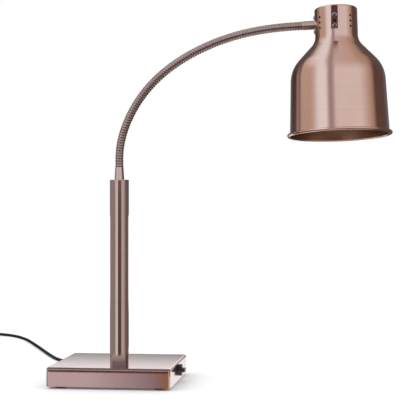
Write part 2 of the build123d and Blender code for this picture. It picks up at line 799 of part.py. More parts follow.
def make_nipple():
    return tube(
        NIPPLE_DIAMETER / 2,
        NIPPLE_BORE / 2,
        HOLDER_TOP - NIPPLE_BELOW,
        STRAP_TOP + NIPPLE_ABOVE,
    )


def make_nipple_nut():
    nut = hexagon(NIPPLE_NUT_FLATS, STRAP_TOP, STRAP_TOP + NIPPLE_NUT_THICK)
    return nut - rod(NIPPLE_DIAMETER / 2, STRAP_TOP, STRAP_TOP + NIPPLE_NUT_THICK)


def make_lamp_holder():
    body = rod(HOLDER_DIAMETER / 2, HOLDER_FOOT, HOLDER_TOP)
    body = fillet(body.edges().filter_by(GeomType.CIRCLE), HOLDER_FILLET)
    socket_top = HOLDER_FOOT + HOLDER_SOCKET_DEPTH
    body -= rod(HOLDER_SOCKET / 2, HOLDER_FOOT, socket_top)
    body -= rod(NIPPLE_DIAMETER / 2, HOLDER_TOP - NIPPLE_BELOW, HOLDER_TOP)
    return body - rod(NIPPLE_BORE / 2, socket_top, HOLDER_TOP)


def make_screw_shell():
    outer = SCREW_SHELL_DIAMETER / 2
    low = HOLDER_FOOT + SCREW_SHELL_INSET
    high = HOLDER_FOOT + HOLDER_SOCKET_DEPTH
    shell = rod(outer, low, high) - rod(outer - SCREW_SHELL_WALL, low, high - SCREW_SHELL_WALL)
    return shell - rod(NIPPLE_BORE / 2, low, high)


def make_bulb_cap():
    """The screw cap of the bulb, with its centre contact."""
    low = HOLDER_FOOT + CLEAR
    high = low + BULB_CAP_LENGTH
    cap = rod(BULB_CAP_DIAMETER / 2, low, high)
    cap = chamfer(cap.faces().sort_by(Axis.Z)[-1].edges(), BULB_CAP_CHAMFER)
    return cap + rod(BULB_CONTACT_DIAMETER / 2, high, high + BULB_CONTACT)


def bulb_form(inset):
    """The reflector bulb as a solid of revolution, drawn in by an inset."""
    top = HOLDER_FOOT - inset
    face = HOLDER_FOOT - BULB_LENGTH + inset
    edge = face + BULB_FACE_CROWN + BULB_EDGE - inset
    wide = BULB_DIAMETER / 2 - inset
    slim = BULB_NECK_DIAMETER / 2 - inset
    neck_end = HOLDER_FOOT - BULB_NECK_LENGTH
    funnel = ThreePointArc(
        (slim, 0, neck_end),
        (BULB_FUNNEL_RADIUS - inset, 0, neck_end - BULB_FUNNEL_DROP),
        (wide, 0, edge),
    )
    neck = Polyline((0, 0, top), (slim, 0, top), (slim, 0, neck_end))
    rim = Line((wide, 0, edge), (wide, 0, face + BULB_FACE_CROWN))
    ball = (wide * wide + BULB_FACE_CROWN * BULB_FACE_CROWN) / (2 * BULB_FACE_CROWN)
    half = wide / 2
    drop = sqrt(ball * ball - half * half) - (ball - BULB_FACE_CROWN)
    crown_at = face + BULB_FACE_CROWN - drop
    crown = ThreePointArc((wide, 0, face + BULB_FACE_CROWN), (half, 0, crown_at), (0, 0, face))
    axis_line = Line((0, 0, face), (0, 0, top))
    edges = neck.edges() + funnel.edges() + rim.edges() + crown.edges() + axis_line.edges()
    return revolve(make_face(edges), axis=Axis.Z)


def make_bulb_glass():
    return bulb_form(0) - bulb_form(BULB_GLASS)


def make_head_lead():
    """The lead from the ferrule's mouth, round and down into the nipple."""
    mouth = -CLAMP_INNER + FERRULE_NUT_THICK
    points = (
        (mouth - HEAD_LEAD_ROOT, 0, 0),
        (mouth + HEAD_LEAD_STRAIGHT, 0, 0),
        *HEAD_LEAD_TURNS,
        (0, 0, HOLDER_TOP - NIPPLE_BELOW - HEAD_LEAD_TAIL),
    )
    return lead("head_lead", points, HEAD_LEAD)


head_nodes = {
    "upper_ferrule": make_upper_ferrule(),
    "arm_clamp": make_arm_clamp(),
    "ferrule_nut": make_ferrule_nut(),
    "arm_screws": make_arm_screws(),
    "shade": make_shade(),
    "holder_bracket": make_holder_bracket(),
    "bracket_screws": make_bracket_screws(),
    "bracket_nuts": make_bracket_nuts(),
    "holder_nipple": make_nipple(),
    "nipple_nut": make_nipple_nut(),
    "lamp_holder": make_lamp_holder(),
    "screw_shell": make_screw_shell(),
    "bulb_cap": make_bulb_cap(),
    "bulb_glass": make_bulb_glass(),
    "head_lead": make_head_lead(),
}
for name, shape in head_nodes.items():
    nodes[name] = HEAD * shape


# Power control, on the base's right side. Its own Z axis points out of the wall.

CONTROL = at(BASE_WIDTH / 2, KNOB_Y, KNOB_Z) * Rotation(0, 90, 0)
KNOB_UNDER = KNOB_GAP
KNOB_FACE = KNOB_UNDER + KNOB_SKIRT
KNOB_TIP = KNOB_FACE + GRIP_HEIGHT


def make_switch():
    """The switch body behind the wall and its threaded bush through it."""
    body = slab(SWITCH_SIDE, SWITCH_SIDE, SWITCH_CORNER, -SHEET - SWITCH_DEPTH, -SHEET)
    body += rod(BUSH_DIAMETER / 2, -SHEET, BUSH_LENGTH)
    return body - rod(SHAFT_DIAMETER / 2 + RUN_CLEAR, -SHAFT_ROOT - RUN_CLEAR, BUSH_LENGTH)


def make_switch_nut():
    nut = hexagon(PANEL_NUT_FLATS, 0, PANEL_NUT_THICK)
    return nut - rod(BUSH_DIAMETER / 2, 0, PANEL_NUT_THICK)


def make_knob():
    """The knob: a round skirt with a bar grip, hollow behind, bored for the shaft."""
    skirt = rod(KNOB_DIAMETER / 2, KNOB_UNDER, KNOB_FACE)
    skirt = fillet(skirt.faces().sort_by(Axis.Z)[-1].edges(), KNOB_EDGE)
    root = KNOB_FACE - 2 * KNOB_EDGE
    grip = slab(GRIP_WIDTH, GRIP_LENGTH, GRIP_CORNER, root, KNOB_TIP)
    grip = fillet(grip.faces().sort_by(Axis.Z)[-1].edges(), GRIP_EDGE)
    knob = skirt + grip
    knob -= rod(KNOB_RECESS_DIAMETER / 2, KNOB_UNDER, KNOB_RECESS)
    knob -= rod(SHAFT_DIAMETER / 2, KNOB_UNDER, SHAFT_REACH)
    return knob - make_pointer()


def make_pointer():
    """The pale line let into the grip's top."""
    inward = (Align.CENTER, Align.MAX, Align.MAX)
    line = Box(POINTER_WIDTH, POINTER_LENGTH, POINTER_INLAY, align=inward)
    return at(0, GRIP_LENGTH / 2 - POINTER_MARGIN, KNOB_TIP) * line


nodes["rotary_switch"] = CONTROL * make_switch()
nodes["switch_nut"] = CONTROL * make_switch_nut()
nodes["switch_shaft"] = CONTROL * rod(SHAFT_DIAMETER / 2, -SHAFT_ROOT, SHAFT_REACH)
nodes["control_knob"] = CONTROL * make_knob()
nodes["knob_pointer"] = CONTROL * make_pointer()


# Mains entry at the back of the base. Its own Z axis points out of the wall.

ENTRY = at(GLAND_X, BASE_DEPTH / 2, GLAND_Z) * Rotation(-90, 0, 0)
RELIEF_END = GLAND_HEAD + RELIEF_LENGTH


def make_gland():
    body = hexagon(GLAND_FLATS, 0, GLAND_HEAD) + rod(GLAND_THREAD / 2, -GLAND_TAIL, 0)
    return body - rod(CORD_DIAMETER / 2 + CLEAR, -GLAND_TAIL, GLAND_HEAD)


def make_gland_nut():
    nut = hexagon(GLAND_FLATS, -SHEET - GLAND_NUT_THICK, -SHEET)
    return nut - rod(GLAND_THREAD / 2, -SHEET - GLAND_NUT_THICK, -SHEET)


def make_relief():
    """The tapered sleeve that the cord leaves through."""
    sleeve = cone(RELIEF_ROOT / 2, RELIEF_TIP / 2, GLAND_HEAD, RELIEF_END)
    for rib in range(RELIEF_GROOVES):
        low = GLAND_HEAD + RELIEF_GROOVE_FIRST + RELIEF_GROOVE_PITCH * rib
        sleeve -= tube(RELIEF_ROOT, RELIEF_GROOVE_DIAMETER / 2, low, low + RELIEF_GROOVE_WIDTH)
    return sleeve - rod(CORD_DIAMETER / 2, GLAND_HEAD, RELIEF_END)


def make_terminal_block():
    length, width, height = TERMINAL_SIZE
    block = Box(length, width, height, align=(Align.CENTER, Align.CENTER, Align.MIN))
    block = fillet(block.edges().filter_by(Axis.Z), TERMINAL_EDGE)
    pitch = length / TERMINAL_WAYS
    for way in range(TERMINAL_WAYS):
        x = (way - (TERMINAL_WAYS - 1) / 2) * pitch
        for y in (-width / 4, width / 4):
            block -= at(x, y, 0) * rod(TERMINAL_HOLE / 2, height / 2, height)
    return at(*TERMINAL_AT, FLOOR_TOP) * block


def make_inner_lead():
    """The mains lead inside the base: through the gland and along to the terminal block."""
    wall = BASE_DEPTH / 2
    block_x, block_y = TERMINAL_AT
    side = block_x - TERMINAL_SIZE[0] / 2
    turns = [(GLAND_X + x, wall + y, GLAND_Z + z) for x, y, z in ENTRY_TURNS]
    points = (
        (GLAND_X, wall + GLAND_HEAD, GLAND_Z),
        (GLAND_X, wall - ENTRY_STRAIGHT, GLAND_Z),
        *turns,
        (side - BLOCK_ENTRY_STRAIGHT, block_y, LEAD_LEVEL),
        (side, block_y, LEAD_LEVEL),
    )
    return lead("inner_lead", points, CORD_DIAMETER)


def make_post_lead():
    """The lead from the terminal block to the stud and up through the post."""
    block_x, block_y = TERMINAL_AT
    side = block_x + TERMINAL_SIZE[0] / 2
    points = (
        (side, block_y, LEAD_LEVEL),
        (side + BLOCK_STRAIGHT, block_y, LEAD_LEVEL),
        *POST_LEAD_TURNS,
        (0, 0, POST_TOP - FERRULE_SPIGOT_LENGTH + POST_LEAD_BITE),
    )
    return lead("post_lead", points, LEAD_DIAMETER)


nodes["cable_gland"] = ENTRY * make_gland()
nodes["gland_nut"] = ENTRY * make_gland_nut()
nodes["strain_relief"] = ENTRY * make_relief()
nodes["terminal_block"] = make_terminal_block()
nodes["inner_lead"] = make_inner_lead()
nodes["post_lead"] = make_post_lead()


# Mains cord on the table, its put-away coil and its plug


def coil_place(turn):
    """A point of the coil's centre line: in along the table, up at the middle, out on top."""
    middle = COIL_TURNS / 2
    away = abs(turn - middle)
    if away < COIL_CLIMB:
        steps = away * away / (2 * COIL_CLIMB) + COIL_CLIMB / 2
        share = (turn - middle + COIL_CLIMB) / (2 * COIL_CLIMB)
        rise = share * share * (3 - 2 * share)
    else:
        steps = away
        rise = 1.0 if turn > middle else 0.0
    radius = COIL_INNER + COIL_PITCH * steps
    angle = radians(COIL_START + 360 * turn)
    return Vector(
        COIL_CENTRE[0] + radius * cos(angle),
        COIL_CENTRE[1] + radius * sin(angle),
        COIL_LEVEL + COIL_PITCH * rise,
    )


def coil_heading(turn):
    """The direction of the coil's centre line at a turn."""
    small = 1e-4
    return (coil_place(turn + small) - coil_place(turn - small)).normalized()


def biarc(start, leaving, end, arriving):
    """Two tangent arcs from one point and direction to another."""
    across = end - start
    both = leaving + arriving
    alike = 2 * (1 - leaving.dot(arriving))
    root = sqrt(across.dot(both) ** 2 + alike * across.dot(across))
    reach = (root - across.dot(both)) / alike
    first = start + leaving * reach
    second = end - arriving * reach
    middle = (first + second) * 0.5
    tangent = (second - first).normalized()
    return [
        Edge.make_tangent_arc(start, leaving, middle),
        Edge.make_tangent_arc(middle, tangent, end),
    ]


def coil_path():
    """The coil's centre line as biarcs of a quarter turn, with a straight tail at its end."""
    edges = []
    quarters = round(COIL_TURNS * COIL_STEPS)
    for quarter in range(quarters):
        here, there = quarter / COIL_STEPS, (quarter + 1) / COIL_STEPS
        edges += biarc(coil_place(here), coil_heading(here), coil_place(there), coil_heading(there))
    end = coil_place(COIL_TURNS)
    tail = end + coil_heading(COIL_TURNS) * COIL_TAIL
    return Wire(edges + [Edge.make_line(end, tail)])


def coil_gap():
    """The least gap between turns, measured on points of the coil's centre line."""
    places = [coil_place(k / GAP_STEPS) for k in range(round(COIL_TURNS * GAP_STEPS) + 1)]
    half_turn = GAP_STEPS // 2
    gaps = []
    for k, here in enumerate(places):
        gaps += [(here - there).length for there in places[k + half_turn :]]
    return min(gaps) - CORD_DIAMETER


def make_cord_tube():
    """The cord from the strain relief down to the table, back and across to the coil."""
    exit_point = (GLAND_X, BASE_DEPTH / 2 + RELIEF_END, GLAND_Z)
    table = [(x, y, CORD_LEVEL) for x, y in CORD_FLOOR_ROUTE]
    start = coil_place(0)
    before = start - coil_heading(0) * COIL_LEAD_IN
    points = [exit_point, *CORD_DROP_ROUTE, *table, tuple(before), tuple(start)]
    return lead("cord_tube", points, CORD_DIAMETER)


def make_coil():
    path = coil_path()
    start = Plane(origin=path @ 0, z_dir=path % 0)
    solid = sweep(start * Circle(CORD_DIAMETER / 2), path=path)
    area = pi * CORD_DIAMETER * CORD_DIAMETER / 4
    share = solid.volume / (area * path.length)
    print("cord_coil length", round(path.length, 1), "volume share", round(share, 4))
    print("cord_coil least gap", round(coil_gap(), 2))
    return solid


def make_ties():
    """Two flat straps round the bundle of turns, which the coil lies on."""
    ties = []
    half = CORD_DIAMETER / 2 + TIE_SLACK
    whole_turns = range(-1, int(COIL_TURNS) + 2)
    for angle in TIE_ANGLES:
        turns = [(angle - COIL_START) / 360 + whole for whole in whole_turns]
        radii = []
        for turn in turns:
            if 0 <= turn <= COIL_TURNS:
                place = coil_place(turn)
                radii.append(hypot(place.X - COIL_CENTRE[0], place.Y - COIL_CENTRE[1]))
        low = min(radii) - half - TIE_SIDE_SLACK
        high = max(radii) + half + TIE_SIDE_SLACK
        under, over = COIL_LEVEL - half, COIL_LEVEL + COIL_PITCH + half
        middle = at((low + high) / 2, 0, (under + over) / 2) * Rotation(90, 0, 0)
        wide, tall = high - low, over - under
        hole = RectangleRounded(wide, tall, TIE_CORNER)
        outer_corner = TIE_CORNER + TIE_THICK
        band = RectangleRounded(wide + 2 * TIE_THICK, tall + 2 * TIE_THICK, outer_corner)
        strap = extrude(middle * (band - hole), TIE_WIDTH / 2, both=True)
        ties.append(at(*COIL_CENTRE, 0) * Rotation(0, 0, angle) * strap)
    return group(ties)


def plug_frame():
    """The plug's place: its own Z axis runs on from the coil's tail, its Y axis is up."""
    heading = coil_heading(COIL_TURNS)
    flat = Vector(heading.X, heading.Y, 0).normalized()
    end = coil_place(COIL_TURNS) + heading * COIL_TAIL
    return Plane(origin=end, x_dir=flat.cross(Vector(0, 0, 1)), z_dir=flat)


def make_plug_body():
    relief = cone(PLUG_RELIEF_TIP / 2, PLUG_RELIEF_ROOT / 2, 0, PLUG_RELIEF)
    start = at(0, 0, PLUG_RELIEF) * RectangleRounded(PLUG_BACK, PLUG_BACK, PLUG_EDGE)
    full = RectangleRounded(PLUG_WIDTH, PLUG_HEIGHT, PLUG_EDGE)
    middle = at(0, 0, PLUG_RELIEF + PLUG_SHOULDER) * full
    end = at(0, 0, PLUG_RELIEF + PLUG_LENGTH) * full
    body = relief + loft([start, middle, end], ruled=True)
    return body - make_plug_pins()


def make_plug_pins():
    """Two flat blades and a round earth pin, rooted in the plug's face."""
    root = PLUG_RELIEF + PLUG_LENGTH - PIN_ROOT
    length = BLADE_LENGTH + PIN_ROOT
    low = (Align.CENTER, Align.CENTER, Align.MIN)
    blade = Box(BLADE_WIDTH, BLADE_THICK, length, align=low)
    blade = chamfer(blade.faces().sort_by(Axis.Z)[-1].edges(), PIN_CHAMFER)
    pins = [at(BLADE_OFFSET, side * BLADE_SPACING / 2, root) * blade for side in (-1, 1)]
    earth = rod(EARTH_PIN / 2, root, root + EARTH_LENGTH + PIN_ROOT)
    earth = chamfer(earth.faces().sort_by(Axis.Z)[-1].edges(), PIN_CHAMFER)
    pins.append(at(BLADE_OFFSET - EARTH_OFFSET, 0, 0) * earth)
    return group(pins)


PLUG_AT = plug_frame()
nodes["cord_tube"] = make_cord_tube()
nodes["cord_coil"] = make_coil()
nodes["coil_ties"] = make_ties()
nodes["plug_body"] = PLUG_AT * make_plug_body()
nodes["plug_pins"] = PLUG_AT * make_plug_pins()

os.makedirs("parts", exist_ok=True)
for name, shape in nodes.items():
    export_step(shape, f"parts/{name}.step")
print(len(nodes), "nodes, head at", [round(value, 1) for value in HEAD.position])
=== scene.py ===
# %% [markdown]
# # A flexible food heat lamp in brushed copper
# A weighted box base carries a post, a ribbed gooseneck arches over from the post, and a spun
# copper shade hangs at its end. The imported model already holds every piece at its true size and
# place. This lesson dresses it: smooth turned and folded metal, a ribbed hose laid along the neck,
# a cord, and finishes made from nodes. Everything is in metres, with Z up and X along the arm.

# %% Load the imported model
from math import acos, cos, hypot, pi, radians, sin, sqrt, tan

import bpy
from mathutils import Matrix, Vector


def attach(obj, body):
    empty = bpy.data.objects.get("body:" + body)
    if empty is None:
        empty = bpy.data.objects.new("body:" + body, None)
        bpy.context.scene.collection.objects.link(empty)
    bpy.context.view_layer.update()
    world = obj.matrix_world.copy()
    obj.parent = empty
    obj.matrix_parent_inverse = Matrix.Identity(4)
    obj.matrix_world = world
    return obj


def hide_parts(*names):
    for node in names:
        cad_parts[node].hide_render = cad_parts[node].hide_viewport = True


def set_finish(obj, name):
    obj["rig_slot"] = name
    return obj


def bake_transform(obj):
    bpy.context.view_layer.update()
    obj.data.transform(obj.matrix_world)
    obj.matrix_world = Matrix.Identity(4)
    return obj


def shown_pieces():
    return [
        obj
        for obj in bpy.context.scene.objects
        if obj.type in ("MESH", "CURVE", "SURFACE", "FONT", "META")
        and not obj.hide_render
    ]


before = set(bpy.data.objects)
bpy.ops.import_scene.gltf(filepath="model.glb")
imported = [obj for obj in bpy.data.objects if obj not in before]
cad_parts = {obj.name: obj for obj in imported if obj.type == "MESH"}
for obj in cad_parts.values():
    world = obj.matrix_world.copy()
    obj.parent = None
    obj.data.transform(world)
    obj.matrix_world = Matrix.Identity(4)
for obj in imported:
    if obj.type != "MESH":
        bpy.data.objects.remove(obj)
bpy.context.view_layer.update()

# %% [markdown]
# ## The camera
# The picture was taken with a long lens held level, a little to the right of the lamp. A level
# camera keeps upright edges parallel, so the picture is framed by shifting the lens and not by
# tilting it. The focal length follows from the size of a picture that is 400 pixels wide.

# %% Place the camera
PICTURE = 400
FOCAL_PIXELS = 1157.8
HORIZON_PIXEL = 214.85
CAMERA_PLACE = (0.4347, -2.2782, 0.3321)
CAMERA_TURN = 6.82

bpy.ops.object.camera_add(location=CAMERA_PLACE, rotation=(pi / 2, 0, radians(CAMERA_TURN)))
camera = bpy.context.object
camera.data.lens = FOCAL_PIXELS * camera.data.sensor_width / PICTURE
camera.data.shift_y = (HORIZON_PIXEL - PICTURE / 2) / PICTURE
bpy.context.scene.camera = camera
print("lens", round(camera.data.lens, 1), "mm")

# %% [markdown]
# ## The mains cord
# The cord leaves the back of the base, drops to the table and runs off to the left and back. The
# rest of its 1.8 metres is put away in a round coil outside the picture. One smooth NURBS curve
# with listed control points lies like a real cord, where straight runs would look like wire.
# The coil is a flat spiral in two layers, so a loop works out its points: in along the table, up
# at the middle and out on top. Every point carries half the thickness as its radius and the bevel
# is 1 metre, because a curve's box counts the points' radii and then fits the cord closely.

# %% Lay the cord
CORD_THICK = 0.007
CORD_LEVEL = 0.0036
CORD_ROUTE = (
    (-0.094, 0.159, 0.018),
    (-0.094, 0.175, 0.018),
    (-0.099, 0.193, 0.012),
    (-0.109, 0.211, 0.005),
    (-0.126, 0.228, CORD_LEVEL),
    (-0.152, 0.248, CORD_LEVEL),
    (-0.178, 0.271, CORD_LEVEL),
    (-0.201, 0.301, CORD_LEVEL),
    (-0.223, 0.345, CORD_LEVEL),
    (-0.254, 0.414, CORD_LEVEL),
    (-0.294, 0.506, CORD_LEVEL),
    (-0.336, 0.601, CORD_LEVEL),
    (-0.377, 0.691, CORD_LEVEL),
    (-0.415, 0.755, CORD_LEVEL),
    (-0.458, 0.805, CORD_LEVEL),
)
COIL_CENTRE = (-0.541, 0.783)
COIL_LEVEL = 0.0049
COIL_INNER = 0.028
COIL_PITCH = 0.0079
COIL_TURNS = 4.25
COIL_START = 90.0
COIL_CLIMB = 0.25
COIL_LEAD_IN = 0.022
COIL_TAIL = 0.010
POINTS_PER_TURN = 16


def coil_place(turn):
    """A point of the coil's centre line, by turns from its outer start."""
    past_middle = turn - COIL_TURNS / 2
    steps = abs(past_middle)
    rise = 1.0 if past_middle > 0 else 0.0
    if steps < COIL_CLIMB:
        steps = steps * steps / (2 * COIL_CLIMB) + COIL_CLIMB / 2
        share = (past_middle + COIL_CLIMB) / (2 * COIL_CLIMB)
        rise = share * share * (3 - 2 * share)
    radius = COIL_INNER + COIL_PITCH * steps
    angle = radians(COIL_START + 360 * turn)
    x = COIL_CENTRE[0] + radius * cos(angle)
    y = COIL_CENTRE[1] + radius * sin(angle)
    return Vector((x, y, COIL_LEVEL + COIL_PITCH * rise))


def coil_heading(turn):
    """The direction of the coil's centre line."""
    step = 1 / 1000
    return (coil_place(turn + step) - coil_place(turn - step)).normalized()


def linked(name, data):
    """An object in the scene for a mesh or a curve."""
    thing = bpy.data.objects.new(name, data)
    bpy.context.scene.collection.objects.link(thing)
    return thing


def smooth_lead(name, places, thick):
    """A round lead on a smooth curve through the neighbourhood of its control points."""
    line = bpy.data.curves.new(name, "CURVE")
    line.dimensions = "3D"
    spline = line.splines.new("NURBS")
    spline.points.add(len(places) - 1)
    for point, place in zip(spline.points, places):
        point.co = (*place, 1)
        point.radius = thick / 2
    spline.order_u = 3
    spline.use_endpoint_u = True
    spline.resolution_u = 8
    line.bevel_depth = 1.0
    line.bevel_resolution = 4
    line.use_fill_caps = True
    return linked(name, line)


coil_count = round(COIL_TURNS * POINTS_PER_TURN)
coil_points = [coil_place(k / POINTS_PER_TURN) for k in range(coil_count + 1)]
lead_in = coil_points[0] - coil_heading(0) * COIL_LEAD_IN
tail_end = coil_points[-1] + coil_heading(COIL_TURNS) * COIL_TAIL
cord_points = [*CORD_ROUTE, lead_in, *coil_points, tail_end]
mains_cord = smooth_lead("mains_cord", cord_points, CORD_THICK)
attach(mains_cord, "stand")
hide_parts("cord_tube", "cord_coil")
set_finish(mains_cord, "black_cord")
print("control points of the cord", len(cord_points))

# %% [markdown]
# ## Helpers for making pieces
# Most of the lamp is round metal, so the main helper is a lathe: a single point is drawn out
# along an outline in edit mode and then spun. Modelling the outline alone keeps each piece
# exact and easy to change. The other helpers round an outline's corners, apply a modifier, and
# hand a finished piece over to the body that it moves with.

# %% Selecting, modifiers and handing over
SMOOTH_ANGLE = radians(35)


def select_only(*chosen):
    """Object mode, with only these pieces selected and the first one active."""
    if bpy.context.mode != "OBJECT":
        bpy.ops.object.mode_set(mode="OBJECT")
    bpy.ops.object.select_all(action="DESELECT")
    for piece in chosen:
        piece.select_set(True)
    if chosen:
        bpy.context.view_layer.objects.active = chosen[0]


def edit(piece, pick="SELECT"):
    """Edit mode on one piece."""
    select_only(piece)
    bpy.ops.object.mode_set(mode="EDIT")
    bpy.ops.mesh.select_all(action=pick)


def modify(piece, kind, **settings):
    """Adds a modifier with these settings and applies it."""
    modifier = piece.modifiers.new(kind.lower(), kind)
    for setting, value in settings.items():
        setattr(modifier, setting, value)
    select_only(piece)
    bpy.ops.object.modifier_apply(modifier=modifier.name)
    return piece


def placed(piece, matrix):
    """Moves a piece and writes its place into its mesh."""
    piece.matrix_world = matrix @ piece.matrix_world
    select_only(piece)
    bpy.ops.object.transform_apply(location=True, rotation=True, scale=True)
    return piece


def joined(pieces):
    """Several pieces as one."""
    select_only(*pieces)
    if len(pieces) > 1:
        bpy.ops.object.join()
    return bpy.context.object


def cut(piece, cutter):
    """Takes the cutter's volume out of the piece."""
    modify(piece, "BOOLEAN", operation="DIFFERENCE", solver="EXACT", object=cutter)
    bpy.data.objects.remove(cutter)
    return piece


def hand_over(piece, name, body, slot, *nodes):
    """Names a finished piece and says what it moves with, what it stands for and its finish."""
    piece.name = name
    piece.data.name = name
    select_only(piece)
    bpy.ops.object.shade_smooth_by_angle(angle=SMOOTH_ANGLE)
    modify(piece, "WEIGHTED_NORMAL", keep_sharp=True)
    if body:
        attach(piece, body)
    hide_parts(*nodes)
    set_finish(piece, slot)
    print(name, len(piece.data.polygons), "faces")
    return piece


# %% Outlines and the lathe
LATHE_STEPS = 96
ARC_STEPS = 8
MERGE = 0.000002
FACING_DOWN = -0.9


def swept(centre, start, end, steps):
    """Points of the arc about a centre from one point to another."""
    spoke = start - centre
    turn = spoke.angle_signed(end - centre)
    points = []
    for k in range(steps + 1):
        ray = spoke.copy()
        ray.rotate(Matrix.Rotation(-turn * k / steps, 2))
        points.append(centre + ray)
    return points


def rounded(corners, radii, steps=ARC_STEPS):
    """An outline with its inner corners rounded. There is one radius for each inner corner."""
    outline = [Vector(corners[0])]
    for before, corner, after, radius in zip(corners, corners[1:], corners[2:], radii):
        back = (Vector(before) - Vector(corner)).normalized()
        on = (Vector(after) - Vector(corner)).normalized()
        half = acos(max(-1, min(1, back.dot(on)))) / 2
        if radius <= 0 or half < radians(1):
            outline.append(Vector(corner))
            continue
        start = Vector(corner) + back * (radius / tan(half))
        centre = Vector(corner) + (back + on).normalized() * (radius / sin(half))
        end = Vector(corner) + on * (radius / tan(half))
        outline += swept(centre, start, end, steps)
    outline.append(Vector(corners[-1]))
    return outline


def arc(centre, radius, first, last, steps=ARC_STEPS):
    """Points of an arc in the outline's plane, by angles from the radius's direction."""
    angles = [radians(first + (last - first) * k / steps) for k in range(steps + 1)]
    return [Vector((centre[0] + radius * cos(a), centre[1] + radius * sin(a))) for a in angles]


def turned(outline, steps=LATHE_STEPS):
    """A turned piece about the Z axis, from (radius, height) points."""
    select_only()
    bpy.ops.mesh.primitive_plane_add(size=0.01)
    piece = bpy.context.object
    bpy.ops.object.mode_set(mode="EDIT")
    bpy.ops.mesh.merge(type="CENTER")
    bpy.ops.transform.translate(value=(outline[0][0], 0, outline[0][1]))
    for here, there in zip(outline, outline[1:]):
        step = (there[0] - here[0], 0, there[1] - here[1])
        bpy.ops.mesh.extrude_vertices_move(TRANSFORM_OT_translate={"value": step})
    bpy.ops.mesh.select_all(action="SELECT")
    bpy.ops.mesh.spin(steps=steps, angle=2 * pi, center=(0, 0, 0), axis=(0, 0, 1))
    bpy.ops.mesh.select_all(action="SELECT")
    bpy.ops.mesh.remove_doubles(threshold=MERGE)
    bpy.ops.mesh.normals_make_consistent(inside=False)
    bpy.ops.object.mode_set(mode="OBJECT")
    return piece


def turned_ring(corners, radii, arc_steps, steps):
    """A turned piece with a bore, from its section's corners and their radii."""
    outline = rounded(corners, radii, arc_steps)
    return turned([*outline, outline[0]], steps)


# %% [markdown]
# ## The base
# The base is a box folded from one sheet, with its corners closed and ground smooth. A cube is
# cut to size, its upright edges and then its top edge are bevelled as a folder would leave them,
# its underside is taken off, and Solidify gives the sheet its thickness.

# %% Fold the base
BASE_SIDE = 0.240
BASE_FOOT = 0.0045
BASE_TOP = 0.041
BASE_SHEET = 0.0015
BASE_CORNER = 0.007
BASE_FOLD = 0.004
CORNER_SEGMENTS = 8
FOLD_SEGMENTS = 7


def pick_parts(piece, kind, parts, wanted):
    """Edit mode with only the edges or faces that a test picks."""
    edit(piece, "DESELECT")
    bpy.ops.mesh.select_mode(type=kind)
    bpy.ops.object.mode_set(mode="OBJECT")
    for part in parts:
        part.select = wanted(part)
    bpy.ops.object.mode_set(mode="EDIT")


def leave_edit():
    """Back to object mode, with points as the kind to pick."""
    bpy.ops.mesh.select_mode(type="VERT")
    bpy.ops.object.mode_set(mode="OBJECT")


def bevel_edges(piece, wanted, offset, segments):
    """Bevels the edges that a test picks by their two end points."""
    points = piece.data.vertices
    pick_parts(
        piece, "EDGE", piece.data.edges, lambda edge: wanted(*(points[k].co for k in edge.vertices))
    )
    bpy.ops.mesh.bevel(offset=offset, segments=segments, profile=0.5, affect="EDGES")
    leave_edit()


def block(size, centre):
    """A cube cut to size, with its place in its mesh."""
    select_only()
    bpy.ops.mesh.primitive_cube_add(size=1, location=centre)
    piece = bpy.context.object
    piece.scale = size
    bpy.ops.object.transform_apply(location=True, rotation=True, scale=True)
    return piece


def upright(a, b):
    return abs(a.z - b.z) > BASE_SHEET


def round_the_top(a, b):
    return min(a.z, b.z) > BASE_TOP - MERGE


def delete_faces(piece, wanted):
    """Deletes the faces that a test picks."""
    pick_parts(piece, "FACE", piece.data.polygons, wanted)
    bpy.ops.mesh.delete(type="FACE")
    leave_edit()


base_height = BASE_TOP - BASE_FOOT
base_middle = (0, 0, (BASE_TOP + BASE_FOOT) / 2)
base = block((BASE_SIDE, BASE_SIDE, base_height), base_middle)
bevel_edges(base, upright, BASE_CORNER, CORNER_SEGMENTS)
bevel_edges(base, round_the_top, BASE_FOLD, FOLD_SEGMENTS)
delete_faces(base, lambda face: face.normal.z < FACING_DOWN)
modify(base, "SOLIDIFY", thickness=BASE_SHEET, offset=-1)
hand_over(base, "folded_base", "stand", "copper_sheet", "base_shell")

# %% [markdown]
# ## Rubber feet
# Each foot is a moulded disc with a recess for its screw. One is turned with soft edges and then
# copied to the four corners.

# %% Turn and copy the feet
FOOT_RADIUS = 0.010
FOOT_BORE = 0.0021
FOOT_RECESS = 0.0022
FOOT_RECESS_RADIUS = 0.005
FOOT_PLACE = 0.096
FOOT_EDGE = 0.0008
FOOT_STEPS = 48
EDGE_STEPS = 3
FOUR_CORNERS = [(x, y) for x in (-1, 1) for y in (-1, 1)]


def copies(piece, places):
    """Copies of a piece at several places, each with its own mesh, joined as one."""
    made = [placed(linked(piece.name, piece.data.copy()), place) for place in places]
    bpy.data.objects.remove(piece)
    return joined(made)


foot_corners = (
    (FOOT_BORE, FOOT_RECESS),
    (FOOT_RECESS_RADIUS, FOOT_RECESS),
    (FOOT_RECESS_RADIUS, 0),
    (FOOT_RADIUS, 0),
    (FOOT_RADIUS, BASE_FOOT),
    (FOOT_BORE, BASE_FOOT),
)
foot = turned_ring(foot_corners, (0, FOOT_EDGE / 2, FOOT_EDGE, 0), EDGE_STEPS, FOOT_STEPS)
foot_places = [Matrix.Translation((x * FOOT_PLACE, y * FOOT_PLACE, 0)) for x, y in FOUR_CORNERS]
feet = copies(foot, foot_places)
hand_over(feet, "moulded_feet", "stand", "black_rubber", "rubber_feet")

# %% [markdown]
# ## The post
# The post is one length of tube with a flush cap. A fine bevel at the cap's edge and a hairline
# between cap and tube catch the light as the real joint does.

